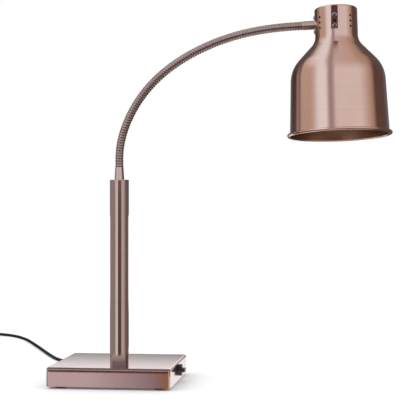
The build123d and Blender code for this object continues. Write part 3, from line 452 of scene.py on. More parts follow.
# %% Turn the post and its cap
POST_RADIUS = 0.019
POST_BORE = 0.0175
POST_TOP = 0.402
CAP_UNDER = 0.3995
CAP_EDGE = 0.0004
CAP_BORE = 0.006
CAP_PLUG_RADIUS = 0.0174
CAP_PLUG_FOOT = 0.3875
POST_STEPS = 128

post_corners = (
    (POST_BORE, BASE_TOP),
    (POST_RADIUS, BASE_TOP),
    (POST_RADIUS, CAP_UNDER),
    (POST_BORE, CAP_UNDER),
)
post = turned_ring(post_corners, (CAP_EDGE / 2, CAP_EDGE / 2), EDGE_STEPS, POST_STEPS)
hand_over(post, "upright_post", "stand", "copper_tube", "post_tube")

cap_corners = (
    (CAP_BORE, CAP_PLUG_FOOT),
    (CAP_PLUG_RADIUS, CAP_PLUG_FOOT),
    (CAP_PLUG_RADIUS, CAP_UNDER),
    (POST_RADIUS, CAP_UNDER),
    (POST_RADIUS, POST_TOP),
    (CAP_BORE, POST_TOP),
)
cap = turned_ring(cap_corners, (0, 0, CAP_EDGE / 2, CAP_EDGE), EDGE_STEPS, POST_STEPS)
hand_over(cap, "flush_post_cap", "stand", "copper_tube", "post_cap")

# %% [markdown]
# ## The line of the gooseneck
# The neck rises straight for a little, then bends over in twelve arcs that grow flatter towards
# the head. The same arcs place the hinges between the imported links, so they are worked out here
# once and used for the hose, its bends and the head.

# %% Work out the neck
NECK_FOOT = 0.4276
NECK_STUB = 0.016
NECK_ARC = 0.0397
NECK_BENDS = (13.7, 10.6, 9.2, 9.1, 8.7, 7.3, 6.0, 5.4, 5.4, 5.2, 4.3, 3.1)
NECK_LENGTH = 2 * NECK_STUB + len(NECK_BENDS) * NECK_ARC
ARM_SWING = -4.0
SWING = Matrix.Rotation(radians(ARM_SWING), 4, "Z")
ALONG_ARM = Matrix.Rotation(pi / 2, 4, "Y")


def neck_stations():
    """The start of each arc as (x, z, heading), and the end of the last."""
    x, z, heading = 0.0, NECK_FOOT + NECK_STUB, pi / 2
    stations = [(x, z, heading)]
    for bend in NECK_BENDS:
        half = radians(bend / 2)
        chord = NECK_ARC * sin(half) / half
        x += chord * cos(heading - half)
        z += chord * sin(heading - half)
        heading -= 2 * half
        stations.append((x, z, heading))
    return stations


STATIONS = neck_stations()


def neck_place(distance):
    """The place and the direction of the neck's centre line at a distance from its foot."""
    link = int(min(max((distance - NECK_STUB) // NECK_ARC, 0), len(NECK_BENDS) - 1))
    x, z, heading = STATIONS[link]
    part = distance - NECK_STUB - link * NECK_ARC
    bent = min(max(part, 0), NECK_ARC)
    half = radians(NECK_BENDS[link]) * bent / NECK_ARC / 2
    chord = bent * sin(half) / half if half else 0
    x += chord * cos(heading - half)
    z += chord * sin(heading - half)
    heading -= 2 * half
    x += (part - bent) * cos(heading)
    z += (part - bent) * sin(heading)
    return SWING @ Vector((x, 0, z)), SWING @ Vector((cos(heading), 0, sin(heading)))


def hinge_distance(hinge):
    """The distance from the neck's foot to a hinge, counted from 1."""
    return NECK_STUB + hinge * NECK_ARC


def neck_line():
    """The centre line as a Bezier curve for the hose to follow."""
    line = bpy.data.curves.new("neck_line", "CURVE")
    line.dimensions = "3D"
    line.resolution_u = 24
    line.twist_mode = "MINIMUM"
    line.use_path = True
    stops = [0.0, *(hinge_distance(k) for k in range(len(NECK_BENDS) + 1)), NECK_LENGTH]
    spline = line.splines.new("BEZIER")
    spline.bezier_points.add(len(stops) - 1)
    for k, (point, stop) in enumerate(zip(spline.bezier_points, stops)):
        place, heading = neck_place(stop)
        before = (stop - stops[k - 1]) / 3 if k else NECK_STUB / 3
        after = (stops[k + 1] - stop) / 3 if k + 1 < len(stops) else NECK_STUB / 3
        point.handle_left_type = point.handle_right_type = "FREE"
        point.co = place
        point.handle_left = place - heading * before
        point.handle_right = place + heading * after
    return linked("neck_line", line)


print("end of the neck", [round(value, 4) for value in neck_place(NECK_LENGTH)[0]])

# %% [markdown]
# ## The ribbed hose
# A gooseneck is a steel hose wound from round wire, so its outside is a row of narrow ribs. One
# rib is drawn from a circle, repeated by an Array, given a wall, and laid along the neck's line
# by a Curve modifier. The hose is cut between the hinges, so each length spans its own hinge.

# %% Wind the hose and bend it
HOSE_RADIUS = 0.0081
HOSE_GROOVE = 0.0008
HOSE_WALL = 0.0018
HOSE_SIDES = 36
RIB_COUNT = 96
RIB_PITCH = NECK_LENGTH / RIB_COUNT
RIB_SHARE = 0.84
RIB_STEPS = (0.0, 0.05, 0.14, 0.28, 0.5, 0.72, 0.86, 0.95, 1.0)
BEND_HALF = 0.012
HINGES = len(NECK_BENDS) - 1


def one_rib(start):
    """A single rib and the groove after it, along X from a start."""
    groove = HOSE_RADIUS - HOSE_GROOVE
    rings = []
    for step in RIB_STEPS:
        rise = sqrt(max(0, 1 - (2 * step - 1) ** 2))
        rings.append((start + RIB_PITCH * RIB_SHARE * step, groove + HOSE_GROOVE * rise))
    rings.append((start + RIB_PITCH, groove))
    select_only()
    bpy.ops.mesh.primitive_circle_add(vertices=HOSE_SIDES, radius=groove)
    rib = placed(bpy.context.object, Matrix.Translation((start, 0, 0)) @ ALONG_ARM)
    bpy.ops.object.mode_set(mode="EDIT")
    for (x, radius), (next_x, next_radius) in zip(rings, rings[1:]):
        step = (next_x - x, 0, 0)
        bpy.ops.mesh.extrude_region_move(TRANSFORM_OT_translate={"value": step})
        grow = next_radius / radius
        bpy.ops.transform.resize(value=(1, grow, grow), center_override=(next_x, 0, 0))
    bpy.ops.mesh.select_all(action="SELECT")
    bpy.ops.mesh.normals_make_consistent(inside=False)
    bpy.ops.object.mode_set(mode="OBJECT")
    return rib


def hose_length(first, last, line):
    """The hose between two ribs, laid along the neck."""
    hose = one_rib(first * RIB_PITCH)
    modify(
        hose,
        "ARRAY",
        count=last - first,
        use_relative_offset=False,
        use_constant_offset=True,
        constant_offset_displace=(RIB_PITCH, 0, 0),
        use_merge_vertices=True,
        merge_threshold=MERGE * 5,
    )
    modify(hose, "SOLIDIFY", thickness=HOSE_WALL, offset=-1)
    return modify(hose, "CURVE", object=line, deform_axis="POS_X")


centre_line = neck_line()
cut_ribs = [round((hinge_distance(k) - NECK_ARC / 2) / RIB_PITCH) for k in range(2, HINGES + 1)]
cut_ribs = [0, *cut_ribs, RIB_COUNT]
for hinge in range(1, HINGES + 1):
    hose = hose_length(cut_ribs[hinge - 1], cut_ribs[hinge], centre_line)
    stands_for = [f"neck_link_{hinge:02d}"]
    if hinge == HINGES:
        stands_for.append(f"neck_link_{hinge + 1:02d}")
    hand_over(hose, f"gooseneck_{hinge:02d}", None, "copper_hose", *stands_for)
    bend_start = neck_place(hinge_distance(hinge) - BEND_HALF)[0]
    bend_end = neck_place(hinge_distance(hinge) + BEND_HALF)[0]
    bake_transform(hose)
bpy.data.objects.remove(centre_line)

# %% [markdown]
# ## The two ferrules
# Turned sleeves end the hose: a slightly tapered one on the post and a plain one into the shade.
# Their edges are broken by a fine radius, which is what gives turned metal its bright rim.

# %% Turn the ferrules
LOWER_FERRULE_RADIUS = 0.0098
LOWER_FERRULE_TIP = 0.0082
FERRULE_BORE = 0.0038
FERRULE_EDGE = 0.0006
SPIGOT_RADIUS = 0.006
SPIGOT_FOOT = 0.390
UPPER_FERRULE_RADIUS = 0.0085
UPPER_FERRULE_SHOW = 0.0244
UPPER_FERRULE_THREAD = 0.0068
CAN_RADIUS = 0.041
CLAMP_INNER = 0.028
FERRULE_STEP = 0.002
FERRULE_NUT_THICK = 0.0036
FERRULE_ARC_STEPS = 4
FERRULE_STEPS = 64

lower_corners = (
    (FERRULE_BORE, SPIGOT_FOOT),
    (SPIGOT_RADIUS, SPIGOT_FOOT),
    (SPIGOT_RADIUS, POST_TOP),
    (LOWER_FERRULE_RADIUS, POST_TOP),
    (LOWER_FERRULE_TIP, NECK_FOOT),
    (FERRULE_BORE, NECK_FOOT),
)
lower_radii = (0, 0, FERRULE_EDGE / 2, FERRULE_EDGE)
lower_ferrule = turned_ring(lower_corners, lower_radii, FERRULE_ARC_STEPS, FERRULE_STEPS)
hand_over(lower_ferrule, "post_ferrule", "stand", "copper_turned", "lower_ferrule")

arm_rise = 90 - sum(NECK_BENDS)
neck_end, neck_heading = neck_place(NECK_LENGTH)
head_reach = UPPER_FERRULE_SHOW + CAN_RADIUS
HEAD_ROLL = -2.4
HEAD = (
    Matrix.Translation(neck_end + neck_heading * head_reach)
    @ SWING
    @ Matrix.Rotation(radians(-arm_rise), 4, "Y")
    @ Matrix.Rotation(radians(HEAD_ROLL), 4, "X")
)
print("head at", [round(value, 4) for value in HEAD.translation])

step_at = -CLAMP_INNER - FERRULE_STEP
thread_end = -CLAMP_INNER + FERRULE_NUT_THICK
upper_corners = (
    (FERRULE_BORE, -head_reach),
    (UPPER_FERRULE_RADIUS, -head_reach),
    (UPPER_FERRULE_RADIUS, step_at),
    (UPPER_FERRULE_THREAD, step_at),
    (UPPER_FERRULE_THREAD, thread_end),
    (FERRULE_BORE, thread_end),
)
upper_radii = (FERRULE_EDGE, 0, 0, FERRULE_EDGE)
upper_ferrule = turned_ring(upper_corners, upper_radii, FERRULE_ARC_STEPS, FERRULE_STEPS)
placed(upper_ferrule, HEAD @ ALONG_ARM)
hand_over(upper_ferrule, "shade_ferrule", "head", "copper_turned", "upper_ferrule")

# %% [markdown]
# ## The spun shade
# The shade is spun from one disc: a closed can, a shoulder, a long flare and a rolled rim. The
# outline is four straight sides with rounded corners, offset inwards for the inner wall. The can
# is then drilled with its vents, its bracket holes and the hole for the arm.

# %% Spin the shade
CAN_TOP = 0.0293
CAN_FOOT = -0.0353
SHOULDER_RADIUS = 0.0899
SHOULDER_HEIGHT = -0.0875
RIM_RADIUS = 0.0950
RIM_HEIGHT = -0.2155
SHADE_RADII = (0.004, 0.030, 0.062)
SHADE_WALL = 0.0012
BEAD_RADIUS = 0.0032
BEAD_OUT = 0.1007
BEAD_RISE = 0.0010
SHADE_STEPS = 240
SHADE_ARC_STEPS = 16


def inset_corner(before, corner, after, inset):
    """A corner moved inwards so that both of its sides move by the inset."""
    normals = []
    for start, end in ((before, corner), (corner, after)):
        dx, dz = end[0] - start[0], end[1] - start[1]
        normals.append((dz / hypot(dx, dz), -dx / hypot(dx, dz)))
    (ax, az), (bx, bz) = normals
    share = inset / (1 + ax * bx + az * bz)
    return corner[0] + share * (ax + bx), corner[1] + share * (az + bz)


def shade_side(inset):
    """The side of the shade from its top's middle to its rim, drawn in by an inset."""
    side = (
        (0.0, CAN_TOP),
        (CAN_RADIUS, CAN_TOP),
        (CAN_RADIUS, CAN_FOOT),
        (SHOULDER_RADIUS, SHOULDER_HEIGHT),
        (RIM_RADIUS, RIM_HEIGHT),
    )
    corners = [inset_corner(*side[k : k + 3], inset) for k in range(3)]
    corners = [(0.0, CAN_TOP - inset), *corners, (RIM_RADIUS - inset, RIM_HEIGHT)]
    top, neck, shoulder = SHADE_RADII
    return rounded(corners, (top - inset, neck + inset, shoulder - inset), SHADE_ARC_STEPS)


bead_centre = (BEAD_OUT - BEAD_RADIUS, RIM_HEIGHT + BEAD_RISE)
bead_reach = bead_centre[0] - RIM_RADIUS
bead_turn = 180 - 180 / pi * acos(bead_reach / BEAD_RADIUS)
bead = arc(bead_centre, BEAD_RADIUS, bead_turn, -bead_turn, 3 * ARC_STEPS)
shade_outline = [*shade_side(0)[:-1], *bead, *reversed(shade_side(SHADE_WALL))]
shade = turned(shade_outline, SHADE_STEPS)

# %% [markdown]
# ## Drilling the can
# Eight columns of three holes let the heat out. Two columns are partly taken by the bracket's
# screws, and the column over the arm is the arm's own fixing. All drills are joined and taken
# out in a single cut, which keeps the can's wall clean.

# %% Drill the can
VENT_RADIUS = 0.0023
SCREW_HOLE = 0.0021
VENT_COLUMNS = 8
VENT_MIDDLE = -0.0018
VENT_PITCH = 0.0103
ARM_SIDE = 180
BRACKET_SIDES = (-90, 90)
ARM_SCREW_SPREAD = 0.0138
DRILL_LENGTH = 0.014
DRILL_SIDES = 32
VENT_ROWS = (VENT_MIDDLE - VENT_PITCH, VENT_MIDDLE, VENT_MIDDLE + VENT_PITCH)


def on_the_can(angle, height, depth=0.0):
    """A frame on the can's outside whose Z axis points away from the shade's axis."""
    turn = Matrix.Rotation(radians(angle), 4, "Z")
    return turn @ Matrix.Translation((CAN_RADIUS + depth, 0, height)) @ ALONG_ARM


def drill(radius, angle, height):
    select_only()
    bpy.ops.mesh.primitive_cylinder_add(vertices=DRILL_SIDES, radius=radius, depth=DRILL_LENGTH)
    return placed(bpy.context.object, on_the_can(angle, height))


drills = [drill(UPPER_FERRULE_RADIUS, ARM_SIDE, 0.0)]
for side in (-1, 1):
    drills.append(drill(SCREW_HOLE, ARM_SIDE, side * ARM_SCREW_SPREAD))
for column in range(VENT_COLUMNS):
    angle = column * 360 / VENT_COLUMNS - 90
    if angle == ARM_SIDE:
        continue
    for height in VENT_ROWS:
        screwed = angle in BRACKET_SIDES and height != VENT_MIDDLE
        drills.append(drill(SCREW_HOLE if screwed else VENT_RADIUS, angle, height))
cut(shade, joined(drills))
placed(shade, HEAD)
hand_over(shade, "spun_shade", "head", "copper_shade", "shade")

# %% [markdown]
# ## Pan head screws
# Bright screws hold the bracket and the arm. The head is a low dome with a cross recess: it is
# turned once, cut once, and copied to each place.

# %% Make and copy the screws
SCREW_HEAD = 0.0045
SCREW_DOME = 0.0028
SCREW_SHANK = 0.0020
SCREW_LIP = 0.0007
CROSS_LONG = 0.0054
CROSS_WIDE = 0.0011
CROSS_DEEP = 0.0012
BRACKET_SHANK = 0.0090
ARM_SHANK = 0.0102
SCREW_STEPS = 40
DOME_STEPS = 6


def pan_screw(shank):
    """A pan head screw along Z, its head above zero."""
    swell = SCREW_DOME - SCREW_LIP
    ball = (SCREW_HEAD * SCREW_HEAD + swell * swell) / (2 * swell)
    edge = 180 / pi * acos(SCREW_HEAD / ball)
    dome = arc((0, SCREW_DOME - ball), ball, edge, 90, DOME_STEPS)
    outline = [(0, -shank), (SCREW_SHANK, -shank), (SCREW_SHANK, 0), (SCREW_HEAD, 0), *dome]
    screw = turned(outline, SCREW_STEPS)
    for across in ((CROSS_LONG, CROSS_WIDE), (CROSS_WIDE, CROSS_LONG)):
        cut(screw, block((*across, 2 * CROSS_DEEP), (0, 0, SCREW_DOME)))
    return screw


bracket_places = []
for angle in BRACKET_SIDES:
    for height in (VENT_ROWS[0], VENT_ROWS[2]):
        bracket_places.append(HEAD @ on_the_can(angle, height, MERGE))
bracket_screws = copies(pan_screw(BRACKET_SHANK), bracket_places)
hand_over(bracket_screws, "bracket_pan_screws", "head", "bright_screws", "bracket_screws")

arm_places = [HEAD @ on_the_can(ARM_SIDE, side * ARM_SCREW_SPREAD, MERGE) for side in (-1, 1)]
arm_screws = copies(pan_screw(ARM_SHANK), arm_places)
hand_over(arm_screws, "arm_pan_screws", "head", "bright_screws", "arm_screws")

# %% [markdown]
# ## The reflector bulb
# A heat lamp's bulb is a blown reflector: a narrow neck, a mirrored funnel and a crowned frosted
# face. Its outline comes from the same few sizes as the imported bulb, with the funnel as one arc.

# %% Blow the bulb
HOLDER_FOOT = -0.070
BULB_LENGTH = 0.108
BULB_RADIUS = 0.0605
BULB_NECK_RADIUS = 0.017
BULB_NECK_LENGTH = 0.010
BULB_FUNNEL_RADIUS = 0.040
BULB_FUNNEL_DROP = 0.024
BULB_EDGE = 0.012
BULB_CROWN = 0.007
BULB_ROUND = 0.005
FUNNEL_STEPS = 24
CROWN_STEPS = 19
CROWN_SKIP = 3


def arc_through(first, middle, last, steps):
    """Points of the arc through three points."""
    (ax, ay), (bx, by), (cx, cy) = first, middle, last
    twist = 2 * (ax * (by - cy) + bx * (cy - ay) + cx * (ay - by))
    a, b, c = ax * ax + ay * ay, bx * bx + by * by, cx * cx + cy * cy
    ux = (a * (by - cy) + b * (cy - ay) + c * (ay - by)) / twist
    uy = (a * (cx - bx) + b * (ax - cx) + c * (bx - ax)) / twist
    return swept(Vector((ux, uy)), Vector(first), Vector(last), steps)


bulb_face = HOLDER_FOOT - BULB_LENGTH
bulb_edge = bulb_face + BULB_CROWN
neck_foot = HOLDER_FOOT - BULB_NECK_LENGTH
funnel = arc_through(
    (BULB_NECK_RADIUS, neck_foot),
    (BULB_FUNNEL_RADIUS, neck_foot - BULB_FUNNEL_DROP),
    (BULB_RADIUS, bulb_edge + BULB_EDGE),
    FUNNEL_STEPS,
)
crown_ball = (BULB_RADIUS**2 + BULB_CROWN**2) / (2 * BULB_CROWN)
crown = []
for k in range(CROWN_STEPS + 1):
    radius = BULB_RADIUS * (1 - k / CROWN_STEPS)
    crown.append((radius, bulb_face + crown_ball - sqrt(crown_ball**2 - radius**2)))
edge_corners = [tuple(funnel[-1]), (BULB_RADIUS, bulb_edge), crown[CROWN_SKIP]]
soft_edge = rounded(edge_corners, (BULB_ROUND,))
bulb_outline = [(0, HOLDER_FOOT), (BULB_NECK_RADIUS, HOLDER_FOOT), *funnel[:-1], *soft_edge]
bulb = turned([*bulb_outline, *crown[CROWN_SKIP + 1 :]])
placed(bulb, HEAD)
hand_over(bulb, "reflector_bulb", "head", "bulb_glass", "bulb_glass")

# %% [markdown]
# ## The power knob
# A small black knob on the right side of the base turns the lamp up. It is a turned skirt with a
# bar grip across it. The grip is a block with well rounded edges, as moulded plastic has.

# %% Make the knob
KNOB_PLACE = (0.120, -0.005, 0.025)
KNOB_RADIUS = 0.0115
KNOB_GAP = 0.0004
KNOB_FACE = 0.0074
KNOB_EDGE = 0.0012
KNOB_RECESS_RADIUS = 0.0088
KNOB_RECESS = 0.0044
GRIP_SIZE = (0.008, 0.020, 0.0087)
GRIP_TIP = 0.0137
GRIP_CORNER = 0.0034
GRIP_EDGE = 0.0014
POINTER_SIZE = (0.0016, 0.007, 0.0006)
POINTER_MARGIN = 0.002
KNOB_ARC_STEPS = 5
KNOB_STEPS = 72
GRIP_CORNER_SEGMENTS = 6
GRIP_EDGE_SEGMENTS = 5

knob_corners = (
    (0, KNOB_RECESS),
    (KNOB_RECESS_RADIUS, KNOB_RECESS),
    (KNOB_RECESS_RADIUS, KNOB_GAP),
    (KNOB_RADIUS, KNOB_GAP),
    (KNOB_RADIUS, KNOB_FACE),
    (0, KNOB_FACE),
)
knob_outline = rounded(knob_corners, (0, 0, KNOB_EDGE / 4, KNOB_EDGE), KNOB_ARC_STEPS)
skirt = turned(knob_outline, KNOB_STEPS)
grip = block(GRIP_SIZE, (0, 0, GRIP_TIP - GRIP_SIZE[2] / 2))
bevel_edges(grip, upright, GRIP_CORNER, GRIP_CORNER_SEGMENTS)
bevel_edges(
    grip, lambda a, b: min(a.z, b.z) > GRIP_TIP - MERGE, GRIP_EDGE, GRIP_EDGE_SEGMENTS
)
pointer_y = GRIP_SIZE[1] / 2 - POINTER_MARGIN - POINTER_SIZE[1] / 2
inlay = block((POINTER_SIZE[0], POINTER_SIZE[1], 2 * POINTER_SIZE[2]), (0, pointer_y, GRIP_TIP))
cut(grip, inlay)
modify(skirt, "BOOLEAN", operation="UNION", solver="EXACT", object=grip)
bpy.data.objects.remove(grip)
placed(skirt, Matrix.Translation(KNOB_PLACE) @ ALONG_ARM)
hand_over(skirt, "power_knob", "knob", "black_plastic", "control_knob")

# %% [markdown]
# ## The strain relief
# A tapered rubber sleeve guides the cord out of the base. Its three grooves let it flex. The
# outline steps in and out along the taper, so a loop writes the grooves.

# %% Turn the strain relief
ENTRY_PLACE = (-0.094, 0.120, 0.018)
ENTRY = Matrix.Translation(ENTRY_PLACE) @ Matrix.Rotation(-pi / 2, 4, "X")
RELIEF_START = 0.005
RELIEF_END = 0.039
RELIEF_ROOT = 0.0070
RELIEF_TIP = 0.0047
RELIEF_BORE = 0.0035
RELIEF_GROOVES = 3
GROOVE_FIRST = 0.006
GROOVE_PITCH = 0.008
GROOVE_WIDTH = 0.003
GROOVE_RADIUS = 0.0045
GROOVE_EDGE = 0.0003
RELIEF_ROOT_EDGE = 0.0006
RELIEF_TIP_EDGE = 0.0008


def relief_radius(height):
    """The radius of the sleeve's taper."""
    share = (height - RELIEF_START) / (RELIEF_END - RELIEF_START)
    return RELIEF_ROOT + (RELIEF_TIP - RELIEF_ROOT) * share


relief_corners = [(RELIEF_BORE, RELIEF_START), (RELIEF_ROOT, RELIEF_START)]
for groove in range(RELIEF_GROOVES):
    low = RELIEF_START + GROOVE_FIRST + GROOVE_PITCH * groove
    high = low + GROOVE_WIDTH
    relief_corners.append((relief_radius(low), low))
    relief_corners.append((GROOVE_RADIUS, low))
    relief_corners.append((GROOVE_RADIUS, high))
    relief_corners.append((relief_radius(high), high))
relief_corners += [(RELIEF_TIP, RELIEF_END), (RELIEF_BORE, RELIEF_END)]
relief_radii = [RELIEF_ROOT_EDGE] + [GROOVE_EDGE] * (4 * RELIEF_GROOVES) + [RELIEF_TIP_EDGE]
relief = turned_ring(relief_corners, relief_radii, EDGE_STEPS, FOOT_STEPS)
placed(relief, ENTRY)
hand_over(relief, "cord_sleeve", "stand", "black_rubber", "strain_relief")

# %% [markdown]
# ## Leads inside
# Three short leads join the mains entry, the post and the lamp holder. They follow the packed
# leads, each on one smooth curve like the cord.

# %% Lay the leads inside
LEAD_THICK = 0.006
HEAD_LEAD_THICK = 0.005
INNER_ROUTE = (
    (-0.094, 0.125, 0.018),
    (-0.094, 0.098, 0.018),
    (-0.090, 0.074, 0.016),
    (-0.080, 0.048, 0.014),
    (-0.072, 0.040, 0.014),
    (-0.060, 0.040, 0.014),
)
POST_ROUTE = (
    (-0.030, 0.040, 0.014),
    (-0.022, 0.040, 0.014),
    (-0.012, 0.024, 0.0135),
    (-0.0025, 0.006, 0.014),
    (0.0, 0.0, 0.023),
    (0.0, 0.0, 0.392),
)
HEAD_ROUTE = (
    (-0.0364, 0.0, 0.0),
    (-0.0194, 0.0, 0.0),
    (-0.0070, 0.0, 0.0005),
    (-0.0005, 0.0, -0.0025),
    (0.0, 0.0, -0.0100),
    (0.0, 0.0, -0.0330),
)
head_places = [HEAD @ Vector(place) for place in HEAD_ROUTE]
inside_leads = (
    ("entry_lead", INNER_ROUTE, CORD_THICK, "stand", "inner_lead"),
    ("rising_lead", POST_ROUTE, LEAD_THICK, "stand", "post_lead"),
    ("holder_lead", head_places, HEAD_LEAD_THICK, "head", "head_lead"),
)
for name, places, thick, body, packed in inside_leads:
    lead = smooth_lead(name, places, thick)
    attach(lead, body)
    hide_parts(packed)
    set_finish(lead, "black_cord")

# %% [markdown]
# ## Moulded pieces that only need soft edges
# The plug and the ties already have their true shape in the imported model. A copy of each mesh is
# merged, its flat triangles are joined into whole faces, and its edges are softened, because
# moulded plastic has no knife edges.

# %% Soften the plug and the ties
SOFTEN = 0.0006
SHARP_ANGLE = radians(40)


def softened(node, name, body, slot, width):
    """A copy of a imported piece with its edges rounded."""
    piece = linked(name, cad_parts[node].data.copy())
    edit(piece)
    bpy.ops.mesh.remove_doubles(threshold=MERGE)
    bpy.ops.mesh.dissolve_limited(angle_limit=radians(1))
    bpy.ops.object.mode_set(mode="OBJECT")
    limit = {"limit_method": "ANGLE", "angle_limit": SHARP_ANGLE}
    modify(piece, "BEVEL", width=width, segments=2, use_clamp_overlap=True, **limit)
    return hand_over(piece, name, body, slot, node)


plug = softened("plug_body", "plug_grip", "stand", "black_plastic", SOFTEN)
ties = softened("coil_ties", "cord_ties", "stand", "black_plastic", SOFTEN / 3)

# %% [markdown]
# ## Brush lines and grain as shader groups
# Brushed metal is covered in fine parallel scratches. The group reads object coordinates, so the
# lines stay with the metal when it moves. Its Lines input is a scale for each axis: a large
# number across the scratches and a small one along them. It gives a height for the bump, a
# roughness that varies with the lines, and a colour that is a little darker where the lacquer
# has dulled. A second group does the same for moulded and cast pieces, with a fine grain.

# %% Build the shader groups


def link(tree, source, target):
    tree.links.new(source, target)


def add_node(tree, kind, **values):
    """A node with its settings, and its inputs by name, each a value or a socket to link."""
    made = tree.nodes.new(kind)
    for key, value in values.items():
        if key not in made.inputs:
            setattr(made, key, value)
        elif isinstance(value, bpy.types.NodeSocket):
            link(tree, value, made.inputs[key])
        else:
            made.inputs[key].default_value = value
    return made


def shader_group(name, inputs, outputs):
    """An empty group with named sockets, and its two ends."""
    group = bpy.data.node_groups.new(name, "ShaderNodeTree")
    for label, kind in inputs:
        group.interface.new_socket(label, in_out="INPUT", socket_type=kind)
    for label, kind in outputs:
        group.interface.new_socket(label, in_out="OUTPUT", socket_type=kind)
    start = group.nodes.new("NodeGroupInput")
    end = group.nodes.new("NodeGroupOutput")
    return group, start.outputs, end.inputs


def mixed(tree, factor, first, second):
    """A colour between two others."""
    mix = add_node(tree, "ShaderNodeMix", data_type="RGBA")
    for socket, source in ((0, factor), (6, first), (7, second)):
        link(tree, source, mix.inputs[socket])
    return mix.outputs[2]


def scaled(tree, value, low, high, out_low=0.0, out_high=1.0):
    """A value mapped from one range to another, and kept inside the second."""
    limits = {"From Min": low, "From Max": high, "To Min": out_low, "To Max": out_high}
    return add_node(tree, "ShaderNodeMapRange", Value=value, **limits).outputs["Result"]


def calculated(tree, operation, first, second):
    """The result of a math node on two sockets or numbers."""
    made = add_node(tree, "ShaderNodeMath", operation=operation)
    for socket, value in zip(made.inputs, (first, second)):
        if isinstance(value, bpy.types.NodeSocket):
            link(tree, value, socket)
        else:
            socket.default_value = value
    return made.outputs["Value"]


def noise(tree, vector, scale, detail, rough):
    """A noise texture's value."""
    values = {"Vector": vector, "Scale": scale, "Detail": detail, "Roughness": rough}
    return add_node(tree, "ShaderNodeTexNoise", **values).outputs["Fac"]


VECTOR, FLOAT, COLOUR = "NodeSocketVector", "NodeSocketFloat", "NodeSocketColor"
GROUP_OUTPUTS = (("Colour", COLOUR), ("Roughness", FLOAT), ("Height", FLOAT))
COLOUR_INPUTS = (("Colour", COLOUR), ("Second colour", COLOUR), ("Roughness", FLOAT))

# Each noise has its scale, its detail and its roughness.
LINE_NOISE = (1.0, 3.0, 0.6)
STREAK_NOISE = (0.12, 2.0, 0.5)
PATCH_NOISE = (14.0, 3.0, 0.55)
CLOUD_NOISE = (30.0, 3.0, 0.6)
GRAIN_DETAIL = (4.0, 0.6)
STREAK_SPAN = (0.35, 0.65)
PATCH_SPAN = (0.40, 0.70)
CLOUD_SPAN = (0.35, 0.70)
ROUGH_SPAN = (0.3, 0.7)
ROUGH_SHARE = (0.85, 1.15)
ROUGH_SHIFT = (-0.05, 0.05)
PATCH_ROUGHNESS = 0.03


def build_brush_lines():
    inputs = (("Vector", VECTOR), ("Lines", VECTOR), *COLOUR_INPUTS)
    group, given, wanted = shader_group("Brush lines", inputs, GROUP_OUTPUTS)
    across = add_node(group, "ShaderNodeVectorMath", operation="MULTIPLY")
    link(group, given["Vector"], across.inputs[0])
    link(group, given["Lines"], across.inputs[1])
    fine = noise(group, across.outputs[0], *LINE_NOISE)
    broad = noise(group, across.outputs[0], *STREAK_NOISE)
    blotch = noise(group, given["Vector"], *PATCH_NOISE)
    streak = scaled(group, broad, *STREAK_SPAN)
    patch = scaled(group, blotch, *PATCH_SPAN)
    dull = calculated(group, "MULTIPLY", calculated(group, "ADD", streak, patch), 0.5)
    link(group, mixed(group, dull, given["Colour"], given["Second colour"]), wanted["Colour"])
    rough = scaled(group, fine, *ROUGH_SPAN, *ROUGH_SHARE)
    rough = calculated(group, "MULTIPLY", rough, given["Roughness"])
    rough = calculated(group, "ADD", rough, calculated(group, "MULTIPLY", patch, PATCH_ROUGHNESS))
    link(group, rough, wanted["Roughness"])
    link(group, fine, wanted["Height"])
    return group


def build_fine_grain():
    inputs = (("Vector", VECTOR), ("Size", FLOAT), *COLOUR_INPUTS)
    group, given, wanted = shader_group("Fine grain", inputs, GROUP_OUTPUTS)
    grain = noise(group, given["Vector"], given["Size"], *GRAIN_DETAIL)
    cloud = noise(group, given["Vector"], *CLOUD_NOISE)
    patch = scaled(group, cloud, *CLOUD_SPAN)
    link(group, mixed(group, patch, given["Colour"], given["Second colour"]), wanted["Colour"])
    rough = scaled(group, cloud, *ROUGH_SPAN, *ROUGH_SHIFT)
    link(group, calculated(group, "ADD", rough, given["Roughness"]), wanted["Roughness"])
    link(group, grain, wanted["Height"])
    return group


BRUSH_LINES = build_brush_lines()
FINE_GRAIN = build_fine_grain()
print("shader groups", [group.name for group in bpy.data.node_groups])

# %% [markdown]
# ## Finishes
# A metal's colour is what it reflects, so the base colour is the tint of the copper under its
# lacquer and the rest comes from the studio. The one exception is the inside of the shade: a
# plainer, rougher copper whose darker tint is painted shade. Brushing spreads a highlight across
# the lines, which is what anisotropy does: the shade's tangent says that its highlights are drawn
# out upwards.
# Plastics and rubbers are plain dielectrics with a fine moulded grain. Two tables hold the
# numbers, and a loop over each makes the materials.

# %% Mix the finishes
finishes = {}


def new_material(name):
    """A material with nodes, and its node tree."""
    material = bpy.data.materials.new(name)
    material.use_nodes = True
    return material, material.node_tree


def finish_from(name, group, values, depth, **extra):
    """A material with a Principled shader fed by a shader group. The bump's depth is in metres."""
    finishes[name], tree = new_material(name)
    shader = tree.nodes["Principled BSDF"]
    effect = tree.nodes.new("ShaderNodeGroup")
    effect.node_tree = group
    for label, value in values.items():
        effect.inputs[label].default_value = value
    link(tree, tree.nodes.new("ShaderNodeTexCoord").outputs["Object"], effect.inputs["Vector"])
    link(tree, effect.outputs["Colour"], shader.inputs["Base Color"])
    link(tree, effect.outputs["Roughness"], shader.inputs["Roughness"])
    height = effect.outputs["Height"]
    bump = add_node(tree, "ShaderNodeBump", Strength=1.0, Distance=depth, Height=height)
    link(tree, bump.outputs["Normal"], shader.inputs["Normal"])
    for label, value in extra.items():
        shader.inputs[label.replace("_", " ")].default_value = value
    return tree, shader


def two_colours(colour, second, roughness):
    """The values that both shader groups ask for."""
    return {"Colour": (*colour, 1), "Second colour": (*second, 1), "Roughness": roughness}


